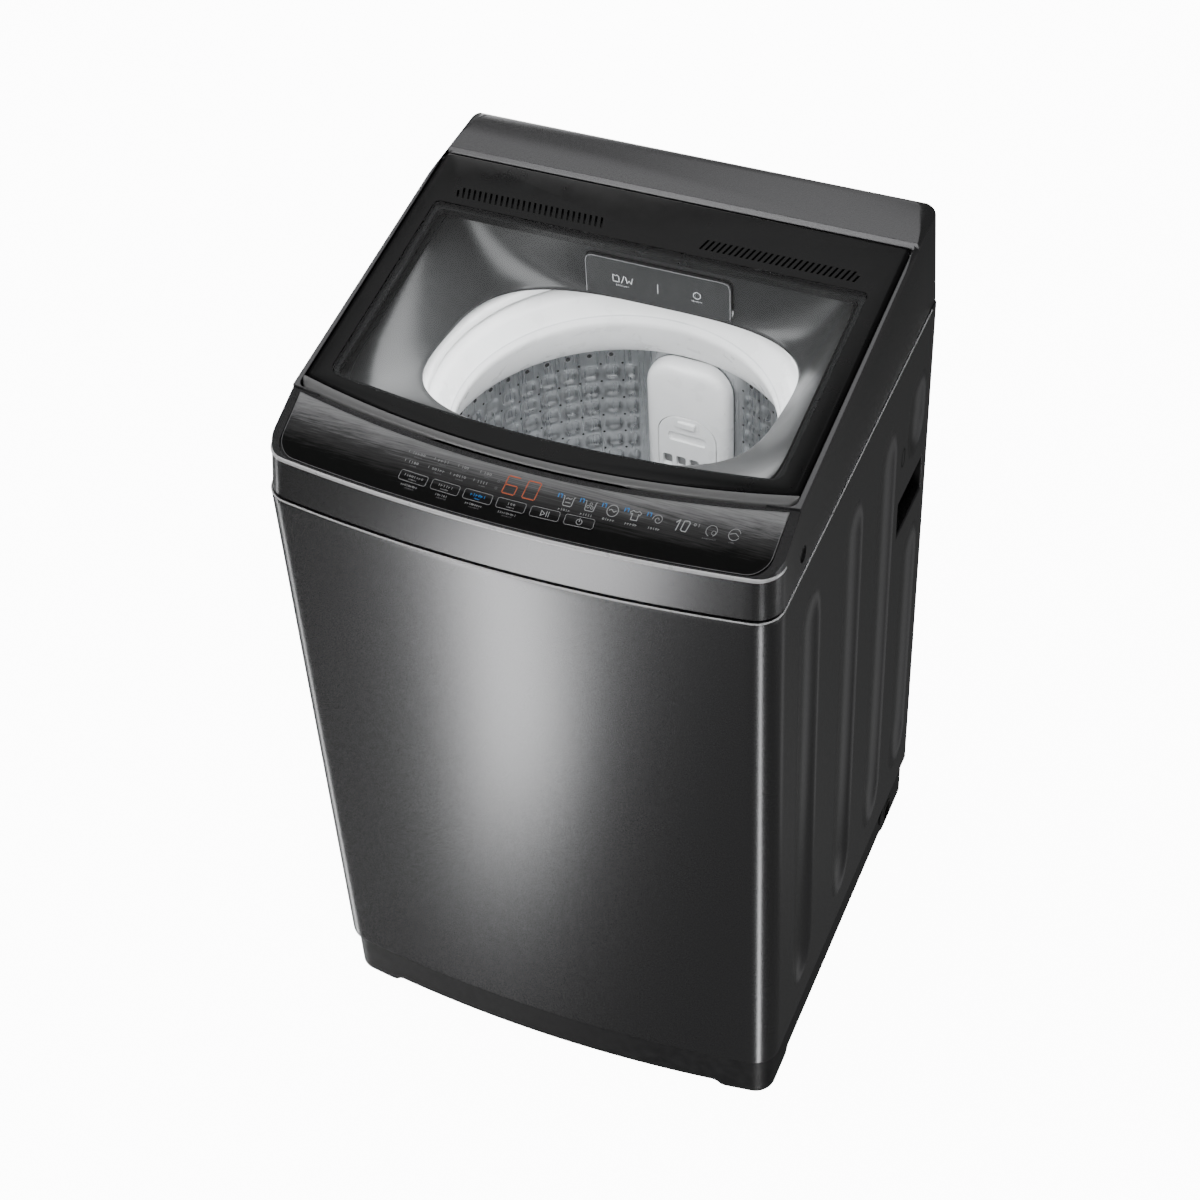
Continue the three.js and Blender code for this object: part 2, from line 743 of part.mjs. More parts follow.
function balanceRing() {
  return turned([
    [222, DRUM_TOP + GAP],
    [222, 788],
    [214, 797],
    [200, 802],
    [188.5, 796],
    [176, 764],
    [190, 728],
    [200, DRUM_TOP + GAP],
  ]);
}

function drumShell() {
  return turned([
    [DRUM_RADIUS - 1.5, DRUM_BASE + GAP],
    [DRUM_RADIUS, DRUM_BASE + GAP],
    [DRUM_RADIUS, DRUM_TOP],
    [DRUM_RADIUS - 1.5, DRUM_TOP],
  ]);
}

function drumBase() {
  return turned([
    [20, 262],
    [66, 262],
    [214, 274],
    [214, DRUM_BASE],
    [204, DRUM_BASE],
    [188, 279],
    [20, 270],
  ]);
}

function filterOutline(width, base, top, radius) {
  const x = width / 2 - radius;
  const points = [
    ...arc(x, top - radius, radius, 0, Math.PI / 2, 4),
    ...arc(-x, top - radius, radius, Math.PI / 2, Math.PI, 4),
  ];
  return [[-width / 2, base], [width / 2, base], ...points.map((p) => [p.x, p.y])];
}

function filterFrame() {
  const back = rod((DRUM_RADIUS - 1.5) * Math.cos(Math.PI / ROUND) - GAP, 250, 800, ROUND);
  const body = frontSolid(filterOutline(106, 330, 699, 34), 187, 225).intersect(back);
  const doorway = frontSolid(filterOutline(75, 397, 627, 30), 180, 240);
  const lintSpace = frontSolid(filterOutline(92, 350, 660, 24), 196.5, 240);
  return without(body, doorway, lintSpace);
}

function filterDoor() {
  const plate = frontSolid(filterOutline(73.6, 398.5, 626, 29.5), 186.6, 192);
  const slot = frontSolid([[-22, 589], [22, 589], [22, 600], [-22, 600]], 180, 189.5);
  const windows = [];
  for (let row = 0; row < 6; row += 1) {
    for (let column = 0; column < 4; column += 1) {
      const x = -25.5 + column * 17;
      const z = 556 - row * 25;
      windows.push(frontSolid([[x - 6, z - 8], [x + 6, z - 8], [x + 6, z + 8], [x - 6, z + 8]], 180, 200));
    }
  }
  const latch = box(-11, 11, 183.5, 190, 612, 620);
  return union(without(plate, slot, ...windows), latch);
}

function pulsator() {
  const dish = turned([
    [0, 284],
    [150, 284],
    [170, 291],
    [166, 295],
    [150, 290.5],
    [60, 292],
    [24, 309],
    [0, 309],
  ]);
  const fin = frontSolid([[34, 286], [160, 286], [164, 300], [120, 306], [80, 312], [34, 309]], -7, 7);
  const fins = [0, 1, 2, 3, 4, 5].map((i) => fin.rotate([0, 0, i * 60]));
  const bore = rod(9.3, 270, 304);
  const capSeat = rod(19, 305, 330, 20);
  return without(union(dish, ...fins), bore, capSeat);
}

function pulsatorCap() {
  return turned([[0, 305.3], [18.6, 305.3], [18.6, 309], [12, 314], [0, 315]], 20);
}

// ---------- drive ----------
function washShaft() {
  return rod(8.8, 94, 302);
}

function spinShaft() {
  return turned([
    [9.4, 232], [15, 232], [15, 256], [19, 256], [19, 276], [9.4, 276],
  ], 20);
}

function clutchHousing() {
  return without(
    turned([
      [15.6, 118], [60, 118], [66, 124], [66, 196], [30, 226], [30, 245], [15.6, 245],
    ], 24),
    rod(15.4, 100, 260, 24),
  );
}

function supportPlate() {
  const plate = box(-190, 112, -125, 120, 228, 231);
  const clutch = rod(31.5, 200, 240, 24);
  const ribs = [-121, 92].map((y) => box(-190, 78, y - 3, y + 3, 218, 229));
  const towers = [[-170, -95], [-170, 92], [100, -95], [60, 95]].map(([x, y]) => (
    moved(rod(9, 230, TUB_BASE - GAP), x, y, 0)
  ));
  return without(union(plate, ...ribs, ...towers), clutch, moved(rod(24, 200, 240), 96, 118, 0));
}

function pulley(radius, groove, bore, sides) {
  const base = PULLEY_BASE;
  return turned([
    [bore, base],
    [radius, base],
    [radius, base + 2.5],
    [groove, base + 5.5],
    [groove, base + 11.5],
    [radius, base + 14.5],
    [radius, base + 17],
    [bore, base + 17],
  ], sides);
}

const drivePulley = () => pulley(72, 62.5, 9.2, 28);

const motorPulley = () => moved(union(pulley(26, 16.8, 5, 16), rod(6.2, 92, 122)), MOTOR.x, MOTOR.y, 0);

function motor() {
  const body = turned([
    [8, 124], [50, 124], [58, 132], [58, 198], [50, 206], [0, 206], [0, 128], [8, 128],
  ], 24);
  const posts = [45, 135, 225, 315].map((angle) => (
    moved(rod(6, 190, 227.7, 8), 48, 0, 0).rotate([0, 0, angle])
  ));
  return moved(union(body, ...posts), MOTOR.x, MOTOR.y, 0);
}

// The belt's line round two pulleys, as a closed outline about both centres.
function beltLine(big, small) {
  const distance = Math.hypot(MOTOR.x, MOTOR.y);
  const lean = Math.acos((big - small) / distance);
  const points = [
    ...arc(0, 0, big, lean, 2 * Math.PI - lean, 24),
    ...arc(distance, 0, small, -lean, lean, 8),
  ];
  const turn = Math.atan2(MOTOR.y, MOTOR.x);
  return points.map((p) => p.rotateAround(new THREE.Vector2(), turn));
}

function driveBelt() {
  const base = PULLEY_BASE + 6;
  return prism(beltLine(69, 23), base, base + 5, [beltLine(63.6, 17.6)]);
}

function drainValve() {
  const chamber = turned([[0, 196], [20, 196], [20, 236], [14.4, 236], [14.4, 244], [0, 244]], 12);
  const bonnet = box(-34, -14, -12, 12, 198, 222);
  const spout = rodAlongX(13, 15, 34, 0, 211);
  const bore = union(rodAlongX(9, 0, 40, 0, 211), rod(10, 210, 250, 20));
  return moved(without(union(chamber, bonnet, spout), bore, rodAlongX(3.4, -40, -18, 0, 210)), 96, 118, 0);
}

function drainPullRod() {
  const stem = rodAlongX(2.8, -2, 76, 118, 210, 12);
  const hook = box(-8, 0, 108, 122, 205, 215);
  return union(stem, hook);
}

function drainActuator() {
  const body = box(-92, -36, 100, 134, 190, 226);
  const plunger = rodAlongX(4, -38, -20, 118, 210, 12);
  return union(body, plunger);
}

function brakeLever() {
  const arm = box(-4, 4, 76, 106, 206, 213);
  const fork = box(-30, 4, 70, 77, 206, 213);
  return union(arm, fork);
}

// ---------- suspension ----------
function suspensionRod() {
  const top = SUSPENSION.bracket + 2 + GAP;
  const washer = SUSPENSION.washer;
  return turned([
    [0, washer], [15, washer], [15, washer + 4], [3.5, washer + 4],
    [3.5, top], [10, top], [10, top + 5], [0, top + 10],
  ], 10);
}

function suspensionSpring() {
  const low = SUSPENSION.washer + 6.5;
  const high = SUSPENSION.lugBase - 2.5;
  const turns = 5;
  const perTurn = 7;
  class Helix extends THREE.Curve {
    getPoint(t, target = new THREE.Vector3()) {
      const angle = t * turns * 2 * Math.PI;
      return target.set(10.5 * Math.cos(angle), 10.5 * Math.sin(angle), low + t * (high - low));
    }
  }
  const section = new THREE.Shape(arc(0, 0, 1.9, 0, 1.5 * Math.PI, 3));
  const options = { steps: turns * perTurn, bevelEnabled: false, extrudePath: new Helix() };
  return solid(new THREE.ExtrudeGeometry(section, options));
}

function drainHose() {
  const path = new THREE.CatmullRomCurve3([
    new THREE.Vector3(131, 134, 211),
    new THREE.Vector3(146, 134, 211),
    new THREE.Vector3(178, 150, 170),
    new THREE.Vector3(190, 180, 100),
    new THREE.Vector3(205, 194, 50),
    new THREE.Vector3(222, 195, 42),
    new THREE.Vector3(235.6, 195, 42),
  ]);
  const section = new THREE.Shape(arc(0, 0, 12, 0, 2 * Math.PI * (7 / 8), 7));
  const options = { steps: 16, bevelEnabled: false, extrudePath: path };
  return solid(new THREE.ExtrudeGeometry(section, options));
}

// ---------- assembly ----------
const FINISH = {
  paint: { color: 0x4a4b4d, roughness: 0.38, metalness: 0.6 },
  darkPlastic: { color: 0x2b2c2e, roughness: 0.5, metalness: 0.05 },
  blackGloss: { color: 0x141415, roughness: 0.3, metalness: 0.0 },
  panel: { color: 0x1a1a1c, roughness: 0.25, metalness: 0.4 },
  chrome: { color: 0xe4e6e8, roughness: 0.12, metalness: 1.0 },
  glass: { color: 0xcfd6da, roughness: 0.05, metalness: 0.0 },
  greyPlastic: { color: 0x6d6f72, roughness: 0.5, metalness: 0.0 },
  white: { color: 0xeceded, roughness: 0.45, metalness: 0.0 },
  paleGrey: { color: 0xb9bbbd, roughness: 0.4, metalness: 0.0 },
  steel: { color: 0xb4b6b8, roughness: 0.3, metalness: 1.0 },
  zinc: { color: 0x9a9da0, roughness: 0.45, metalness: 0.9 },
  rubber: { color: 0x1c1c1c, roughness: 0.85, metalness: 0.0 },
  aluminium: { color: 0xa8aaad, roughness: 0.4, metalness: 0.9 },
  spring: { color: 0x7f8386, roughness: 0.4, metalness: 1.0 },
};

function named(name, shape, finish) {
  const geometry = shape.isBufferGeometry ? shape : geometryOf(shape);
  const mesh = new THREE.Mesh(geometry, new THREE.MeshStandardMaterial(FINISH[finish]));
  mesh.name = name;
  return mesh;
}

function cabinetGroup() {
  const group = new THREE.Group();
  group.add(
    named('cabinet', cabinet(), 'paint'),
    named('rear_panel', rearPanel(), 'zinc'),
    named('base_plinth', plinth(), 'darkPlastic'),
    named('drain_outlet', drainOutlet(), 'rubber'),
    named('power_gland', powerGland(), 'rubber'),
    named('carry_handle_left', carryHandle(-1), 'darkPlastic'),
    named('carry_handle_right', carryHandle(1), 'darkPlastic'),
  );
  [['left', -1], ['right', 1]].forEach(([word, side]) => {
    const leg = named(`foot_${word}`, foot(), 'rubber');
    leg.position.set(side * 240, -215, 0);
    group.add(leg);
  });
  return group;
}

function coverGroup() {
  const group = new THREE.Group();
  group.add(
    named('top_cover', topCover(), 'paint'),
    named('console_back', consoleBack(), 'darkPlastic'),
    named('chrome_trim', chromeTrim(), 'chrome'),
    named('control_panel', controlPanel(), 'panel'),
    named('control_board', controlBoard(), 'darkPlastic'),
    named('inner_deck', innerDeck(), 'greyPlastic'),
    named('dispenser_drawer', dispenserDrawer(), 'greyPlastic'),
    named('dispenser_housing', dispenserHousing(), 'white'),
    named('inlet_valve', inletValve(), 'white'),
    named('lid_switch', lidSwitch(), 'darkPlastic'),
  );
  KEY_XS.forEach((x, i) => {
    const key = named(`key_${KEY_NAMES[i]}`, solid(keyCap(0, -4, 0.1)), 'panel');
    const place = keyPlace(x);
    key.position.copy(place.position);
    key.rotation.copy(place.rotation);
    group.add(key);
  });
  return group;
}

function lidGroup() {
  const group = new THREE.Group();
  group.add(
    named('lid_frame', lidFrame(), 'blackGloss'),
    named('lid_glass', lidGlass(), 'glass'),
    named('lid_handle', lidHandle(), 'greyPlastic'),
    named('lid_pin_left', lidPin(-1), 'steel'),
    named('lid_pin_right', lidPin(1), 'steel'),
  );
  return group;
}

function drumGroup() {
  const group = new THREE.Group();
  const filter = new THREE.Group();
  filter.rotation.z = FILTER_TURN;
  filter.add(
    named('filter_frame', filterFrame(), 'paleGrey'),
    named('filter_door', filterDoor(), 'paleGrey'),
  );
  group.add(
    named('balance_ring', balanceRing(), 'white'),
    named('drum_shell', drumShell(), 'steel'),
    named('drum_base', drumBase(), 'paleGrey'),
    named('spin_shaft', spinShaft(), 'steel'),
    named('pulsator', pulsator(), 'paleGrey'),
    named('pulsator_cap', pulsatorCap(), 'greyPlastic'),
    named('wash_shaft', washShaft(), 'steel'),
    named('drive_pulley', drivePulley(), 'aluminium'),
    filter,
  );
  return group;
}

function tubGroup() {
  const group = new THREE.Group();
  group.position.set(0, TUB_Y, 0);
  group.add(
    named('outer_tub', outerTub(), 'white'),
    named('tub_cover', tubCover(), 'white'),
    named('clutch_housing', clutchHousing(), 'aluminium'),
    named('support_plate', supportPlate(), 'zinc'),
    named('motor', motor(), 'zinc'),
    named('motor_pulley', motorPulley(), 'aluminium'),
    named('drive_belt', driveBelt(), 'rubber'),
    named('drain_valve', drainValve(), 'white'),
    named('drain_pull_rod', drainPullRod(), 'paleGrey'),
    named('drain_actuator', drainActuator(), 'darkPlastic'),
    named('brake_lever', brakeLever(), 'zinc'),
    drumGroup(),
  );
  return group;
}

function suspensionGroup() {
  const group = new THREE.Group();
  const corners = [['front_left', -1, -1], ['front_right', 1, -1], ['rear_left', -1, 1], ['rear_right', 1, 1]];
  corners.forEach(([word, sx, sy]) => {
    const corner = new THREE.Group();
    corner.position.set(sx * SUSPENSION.x, TUB_Y + sy * SUSPENSION.y, 0);
    corner.add(named(`suspension_rod_${word}`, suspensionRod(), 'zinc'));
    corner.add(named(`suspension_spring_${word}`, suspensionSpring(), 'spring'));
    group.add(corner);
  });
  group.add(named('drain_hose', drainHose(), 'rubber'));
  return group;
}

const machine = new THREE.Group();
machine.add(cabinetGroup(), coverGroup(), lidGroup(), tubGroup(), suspensionGroup());

export default machine;
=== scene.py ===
# A top-loading washing machine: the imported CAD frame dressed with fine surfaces, materials and light.
import math

import bmesh
import bpy
import numpy as np
from mathutils import Matrix, Vector


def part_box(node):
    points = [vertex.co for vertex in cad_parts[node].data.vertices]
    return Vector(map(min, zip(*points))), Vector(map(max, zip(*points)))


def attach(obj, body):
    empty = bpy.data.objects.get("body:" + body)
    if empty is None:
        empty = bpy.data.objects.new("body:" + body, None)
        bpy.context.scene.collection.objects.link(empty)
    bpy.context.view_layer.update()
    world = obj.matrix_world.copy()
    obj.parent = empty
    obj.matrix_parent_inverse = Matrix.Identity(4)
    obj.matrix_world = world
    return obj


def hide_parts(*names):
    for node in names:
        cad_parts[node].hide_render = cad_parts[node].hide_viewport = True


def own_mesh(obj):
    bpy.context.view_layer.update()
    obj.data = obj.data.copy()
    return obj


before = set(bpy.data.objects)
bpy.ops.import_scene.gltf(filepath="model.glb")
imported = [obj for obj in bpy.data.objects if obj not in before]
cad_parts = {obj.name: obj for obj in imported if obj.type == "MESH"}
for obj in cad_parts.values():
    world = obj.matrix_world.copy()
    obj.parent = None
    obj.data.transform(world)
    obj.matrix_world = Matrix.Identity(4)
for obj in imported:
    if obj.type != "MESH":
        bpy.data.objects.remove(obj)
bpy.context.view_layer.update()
MM = 0.001

# ---------- camera ----------
def make_camera():
    azimuth, elevation, roll = (math.radians(v) for v in (25.16, 45.056, -3.523))
    forward = Vector((
        -math.sin(azimuth) * math.cos(elevation),
        math.cos(azimuth) * math.cos(elevation),
        -math.sin(elevation),
    ))
    right = forward.cross(Vector((0, 0, 1))).normalized()
    up = right.cross(forward)
    turned_right = math.cos(roll) * right + math.sin(roll) * up
    turned_up = -math.sin(roll) * right + math.cos(roll) * up
    data = bpy.data.cameras.new("camera")
    data.sensor_width = 36
    data.lens = 72.79
    data.clip_start, data.clip_end = 0.05, 60
    camera = bpy.data.objects.new("camera", data)
    bpy.context.scene.collection.objects.link(camera)
    basis = Matrix((turned_right, turned_up, -forward)).transposed().to_4x4()
    camera.matrix_world = Matrix.Translation((0.8155, -1.7836, 2.4824)) @ basis
    bpy.context.scene.camera = camera


make_camera()

# ---------- driving dimensions, in millimetres, the same as the CAD ----------
WIDTH, DEPTH, HEIGHT = 560.0, 543.0, 948.0
HALF = WIDTH / 2
FRONT, REAR = -DEPTH / 2, DEPTH / 2
BOW = 22.0
PLINTH_INSET, PLINTH_TOP, CABINET_BASE = 5.4, 70.2, 70.5
FLUTES, FLUTE_LOW, FLUTE_HIGH = (-147.0, -8.0, 110.0, 214.0), 118, 758
HANDLE_Y, HANDLE_Z, HANDLE_LONG, HANDLE_HIGH = 202.0, 591.0, 93.0, 52.0
LID_HALF, LID_REAR, LID_THICK = 268.5, 195.0, 12.0
CONSOLE_FRONT = 206.0
KEY_XS = (-109.0, -73.0, -37.0, -1.0, 35.0, 71.0)
KEY_NAMES = ("water_temp", "program", "process", "set", "start_pause", "power")
KEY_U = -236.5
PANEL_HALF, PANEL_FRONT, PANEL_REAR, PANEL_CORNER, PANEL_SLOPE = 264.6, -257.6, -202.4, 22, 0.43
PLAIN_FROM = 782
GROOVE_END = -222
FOOT_X, FOOT_Y = 240, -215
SPRING_X, SPRING_Y = 238, 221
DRAWER_Z = 857
TUB_Y = 16.0
EMBOSS_COLUMNS, EMBOSS_ROWS, EMBOSS_PITCH, EMBOSS_TOP = 52, 15, 26.0, 680.0
DRUM_SKIN, DRUM_TOP_HOLES = 210.5, 693.5
FILTER_TURN = -0.043
BELOW, ABOVE = 700, 1000


def seam_z(y):
    return 810.5 + 14.3 * (y + 249) / 520


def lid_z(y):
    return 899.1 + 0.129 * (y + 137)


def panel_z(u):
    return 859 + PANEL_SLOPE * (u + 262)


def bow_at(x):
    return BOW * (x / HALF) ** 2


# ---------- mesh tools ----------
def new_object(name, vertices, faces, smooth=None):
    mesh = bpy.data.meshes.new(name)
    mesh.from_pydata([tuple(c * MM for c in v) for v in vertices], [], faces)
    mesh.update()
    thing = bpy.data.objects.new(name, mesh)
    bpy.context.scene.collection.objects.link(thing)
    if smooth is not None:
        shade(thing, smooth)
    return thing


def shade(thing, angle=35):
    mesh = thing.data
    mesh.polygons.foreach_set("use_smooth", [True] * len(mesh.polygons))
    mesh.set_sharp_from_angle(angle=math.radians(angle))
    mesh.update()
    return thing


def tidy(thing, merge=0.00002, flat=0.0, normals=True):
    """Joins doubled points, dissolves edges flatter than an angle and turns the faces outwards."""
    work = bmesh.new()
    work.from_mesh(thing.data)
    bmesh.ops.remove_doubles(work, verts=work.verts, dist=merge)
    if flat:
        bmesh.ops.dissolve_limit(work, verts=work.verts, edges=work.edges,
                                 angle_limit=math.radians(flat))
    if normals:
        bmesh.ops.recalc_face_normals(work, faces=work.faces)
    work.to_mesh(thing.data)
    work.free()
    thing.data.update()
    return thing


def soften(thing, width, segments=3, angle=38):
    """Rounds the edges that turn by more than the angle."""
    thing.data.polygons.foreach_set("use_smooth", [True] * len(thing.data.polygons))
    bevel = thing.modifiers.new("round_edges", "BEVEL")
    bevel.width = width * MM
    bevel.segments = segments
    bevel.limit_method = "ANGLE"
    bevel.angle_limit = math.radians(angle)
    bevel.use_clamp_overlap = True
    bevel.miter_outer = "MITER_ARC"
    weighted = thing.modifiers.new("even_normals", "WEIGHTED_NORMAL")
    weighted.keep_sharp = True
    return thing


def thicken(thing, wall, side):
    """Gives a skin a wall; side is 1 for outwards and -1 for inwards."""
    sheet = thing.modifiers.new("wall", "SOLIDIFY")
    sheet.thickness = wall * MM
    sheet.offset = side
    return thing


def settle(thing):
    """Turns the modifiers into plain mesh."""
    graph = bpy.context.evaluated_depsgraph_get()
    mesh = bpy.data.meshes.new_from_object(thing.evaluated_get(graph))
    thing.modifiers.clear()
    thing.data = mesh
    return thing


def combine(base, others, operation):
    for other in others:
        step = base.modifiers.new("boolean", "BOOLEAN")
        step.operation = operation
        step.solver = "MANIFOLD"
        step.object = other
        settle(base)
        bpy.data.objects.remove(other)
    return base


def cut(base, *others):
    return combine(base, others, "DIFFERENCE")


def triangles(thing):
    """Splits the many-sided faces that a cut leaves, so that holes stay open."""
    work = bmesh.new()
    work.from_mesh(thing.data)
    many = [face for face in work.faces if len(face.verts) > 4]
    bmesh.ops.triangulate(work, faces=many, ngon_method="EAR_CLIP")
    work.to_mesh(thing.data)
    work.free()


def keep(base, *others):
    return combine(base, others, "INTERSECT")


def join(name, *things):
    """One object from several, with the first one's transform."""
    work = bmesh.new()
    for thing in things:
        settle(thing)
        work.from_mesh(thing.data)
    mesh = bpy.data.meshes.new(name)
    work.to_mesh(mesh)
    work.free()
    for thing in things:
        bpy.data.objects.remove(thing)
    whole = bpy.data.objects.new(name, mesh)
    bpy.context.scene.collection.objects.link(whole)
    return whole


def finish_piece(thing, body, look, slot, *nodes):
    """Gives a finished piece its material, its body and the CAD nodes that it stands for."""
    thing.data.materials.clear()
    thing.data.materials.append(LOOKS[look])
    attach(thing, body)
    if nodes:
        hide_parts(*nodes)
    return thing


def arc(cx, cy, radius, start, end, steps, last=True):
    count = steps + 1 if last else steps
    return [
        (cx + radius * math.cos(start + (end - start) * i / steps),
         cy + radius * math.sin(start + (end - start) * i / steps))
        for i in range(count)
    ]


def bowed_plan(half, front, rear, bow, corner, rear_corner=4.0, rear_bow=0.0, steps=56, turn=10):
    """An anticlockwise outline with a bowed front, always with the same number of points."""
    radius = (half * half + bow * bow) / (2 * bow)
    centre = front + radius
    reach = radius - corner
    spread = math.asin((half - corner) / reach)
    corner_y = centre - reach * math.cos(spread)
    down = -math.pi / 2
    end = rear + rear_bow
    rear_edge = []
    for i in range(steps):
        x = (half - rear_corner) * (1 - 2 * i / steps)
        rear_edge.append((x, rear + rear_bow * (x / half) ** 2))
    return [
        *arc(-half + corner, corner_y, corner, math.pi, 2 * math.pi + down - spread, turn, False),
        *arc(0, centre, radius, down - spread, down + spread, steps, False),
        *arc(half - corner, corner_y, corner, down + spread, 0, turn),
        *arc(half - rear_corner, end - rear_corner, rear_corner, 0, math.pi / 2, 4, False),
        *rear_edge,
        *arc(-half + rear_corner, end - rear_corner, rear_corner, math.pi / 2, math.pi, 4),
    ]


def body_plan(inset=0.0, rear=REAR, **more):
    return bowed_plan(HALF - inset, FRONT + inset, rear - inset, BOW, max(30 - inset, 3),
                      max(6 - inset, 2), **more)


def front_of(plan, steps, turn):
    """The part of a plan that runs from the left side round the front to the right side."""
    return plan[:2 * turn + steps + 1]


def grid(lines, count, closed=True, wrap=False):
    """The faces between neighbouring lines of count points; closed joins each line's ends."""
    faces = []
    for line in range(lines if wrap else lines - 1):
        a, b = line * count, (line + 1) % lines * count
        for i in range(count if closed else count - 1):
            j = (i + 1) % count
            faces.append((a + i, a + j, b + j, b + i))
    return faces


def loft(loops, name="loft", caps=True):
    """A skin through closed loops of equally many points."""
    count = len(loops[0])
    vertices = [p for loop in loops for p in loop]
    faces = grid(len(loops), count)
    if caps:
        faces.append(tuple(reversed(range(count))))
        last = (len(loops) - 1) * count
        faces.append(tuple(range(last, last + count)))
    return new_object(name, vertices, faces)


def prism(points, low, high):
    """An upright solid; low and high are heights or functions of y."""
    base = low if callable(low) else lambda y: low
    top = high if callable(high) else lambda y: high
    return tidy(loft([[(x, y, base(y)) for x, y in points], [(x, y, top(y)) for x, y in points]]))


def side_solid(profile, x0=-330, x1=330):
    return tidy(loft([[(x0, y, z) for y, z in profile], [(x1, y, z) for y, z in profile]]))


def front_solid(profile, y0, y1):
    return tidy(loft([[(x, y0, z) for x, z in profile], [(x, y1, z) for x, z in profile]]))


def bent_solid(profile):
    """A side profile that follows the bow of the front."""
    return tidy(loft([[(x, y + bow_at(x), z) for y, z in profile] for x in np.linspace(-300, 300, 57)]))


def block(x0, x1, y0, y1, z0, z1):
    return side_solid([(y0, z0), (y1, z0), (y1, z1), (y0, z1)], x0, x1)


def lathe(profile, cx=0.0, cy=0.0, sides=96, name="lathe"):
    """A turned shape about a vertical axis, from a closed profile of radius and height."""
    vertices = []
    for i in range(sides):
        angle = 2 * math.pi * i / sides
        vertices += [(cx + r * math.cos(angle), cy + r * math.sin(angle), z) for r, z in profile]
    faces = [(a, d, c, b) for a, b, c, d in grid(sides, len(profile), wrap=True)]
    return tidy(new_object(name, vertices, faces))


def smooth_curve(points, per=8):
    """A Catmull-Rom curve through the points of a section."""
    p = [np.array(q, float) for q in points]
    p = [2 * p[0] - p[1], *p, 2 * p[-1] - p[-2]]
    out = []
    for i in range(1, len(p) - 2):
        for s in range(per):
            t = s / per
            out.append(tuple(0.5 * (
                2 * p[i] + (p[i + 1] - p[i - 1]) * t
                + (2 * p[i - 1] - 5 * p[i] + 4 * p[i + 1] - p[i + 2]) * t * t
                + (3 * p[i] - p[i - 1] - 3 * p[i + 1] + p[i + 2]) * t ** 3
            )))
    out.append(tuple(p[-2]))
    return out


def rounded_rectangle(width, height, radius, steps=6):
    x, y = width / 2 - radius, height / 2 - radius
    return [
        *arc(x, -y, radius, -math.pi / 2, 0, steps),
        *arc(x, y, radius, 0, math.pi / 2, steps),
        *arc(-x, y, radius, math.pi / 2, math.pi, steps),
        *arc(-x, -y, radius, math.pi, 1.5 * math.pi, steps),
    ]


def rod_x(radius, x0, x1, y, z, sides=32):
    ring = arc(y, z, radius, 0, 2 * math.pi, sides, False)
    return side_solid(ring, x0, x1)


def rod_y(radius, y0, y1, x, z, sides=32):
    ring = arc(x, z, radius, 0, 2 * math.pi, sides, False)
    return front_solid(ring, y0, y1)


def smoothstep(value, low, high):
    t = min(max((value - low) / (high - low), 0), 1)
    return t * t * (3 - 2 * t)


def copy_of(node, name):
    """A working copy of a CAD node's mesh."""
    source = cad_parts[node]
    thing = bpy.data.objects.new(name, source.data.copy())
    bpy.context.scene.collection.objects.link(thing)
    thing.matrix_world = source.matrix_world.copy()
    return tidy(thing, 0.00001, 0.8)


# ---------- materials ----------
def nodes_of(name):
    look = bpy.data.materials.new(name)
    look.use_nodes = True
    tree = look.node_tree
    shader = next(n for n in tree.nodes if n.type == "BSDF_PRINCIPLED")
    return look, tree, shader


def put(shader, **values):
    names = {
        "metallic": "Metallic", "roughness": "Roughness", "coat": "Coat Weight",
        "coat_roughness": "Coat Roughness", "specular": "Specular IOR Level",
        "emission": "Emission Color", "strength": "Emission Strength",
    }
    for key, value in values.items():
        if isinstance(value, tuple):
            value = (*value, 1)
        shader.inputs[names[key]].default_value = value


def feed(tree, socket, value):
    """Sets an input to a value, or joins it to another node's output."""
    if isinstance(value, bpy.types.NodeSocket):
        tree.links.new(value, socket)
    else:
        socket.default_value = value


def add(tree, kind, **inputs):
    """A new shader node; each keyword is an input's name with _ for a space."""
    made = tree.nodes.new("ShaderNode" + kind)
    for name, value in inputs.items():
        feed(tree, made.inputs[name.replace("_", " ")], value)
    return made


def calculate(tree, operation, first, second):
    made = tree.nodes.new("ShaderNodeMath")
    made.operation = operation
    feed(tree, made.inputs[0], first)
    feed(tree, made.inputs[1], second)
    return made.outputs["Value"]


def noise(tree, scale, detail=4.0, stretch=(1, 1, 1), rough=0.55):
    place = add(tree, "TexCoord").outputs["Object"]
    mapping = add(tree, "Mapping", Scale=stretch, Vector=place)
    texture = add(tree, "TexNoise", Scale=scale, Detail=detail, Roughness=rough,
                  Vector=mapping.outputs["Vector"])
    return texture.outputs["Fac"]


def ramp(tree, fac, low, high, start=0.35, end=0.65):
    """Maps a value onto a range of numbers."""
    return add(tree, "MapRange", Value=fac, From_Min=start, From_Max=end, To_Min=low,
               To_Max=high).outputs["Result"]


def tint(tree, fac, stops):
    """Maps a value onto colours; each stop is a position and a colour."""
    made = add(tree, "ValToRGB", Fac=fac)
    elements = made.color_ramp.elements
    elements[0].position, elements[1].position = stops[0][0], stops[-1][0]
    for place, _ in stops[1:-1]:
        elements.new(place)
    for element, (_, color) in zip(elements, stops):
        element.color = (*color, 1)
    return made.outputs["Color"]


def bump(tree, shader, fac, strength, distance, edge=None):
    made = add(tree, "Bump", Strength=strength, Distance=distance, Height=fac)
    if edge:
        tree.links.new(edge, made.inputs["Normal"])
    tree.links.new(made.outputs["Normal"], shader.inputs["Normal"])


def eased_edge(tree, radius):
    """Shades the small moulded radius along the edges."""
    made = add(tree, "Bevel", Radius=radius * MM)
    made.samples = 4
    return made.outputs["Normal"]


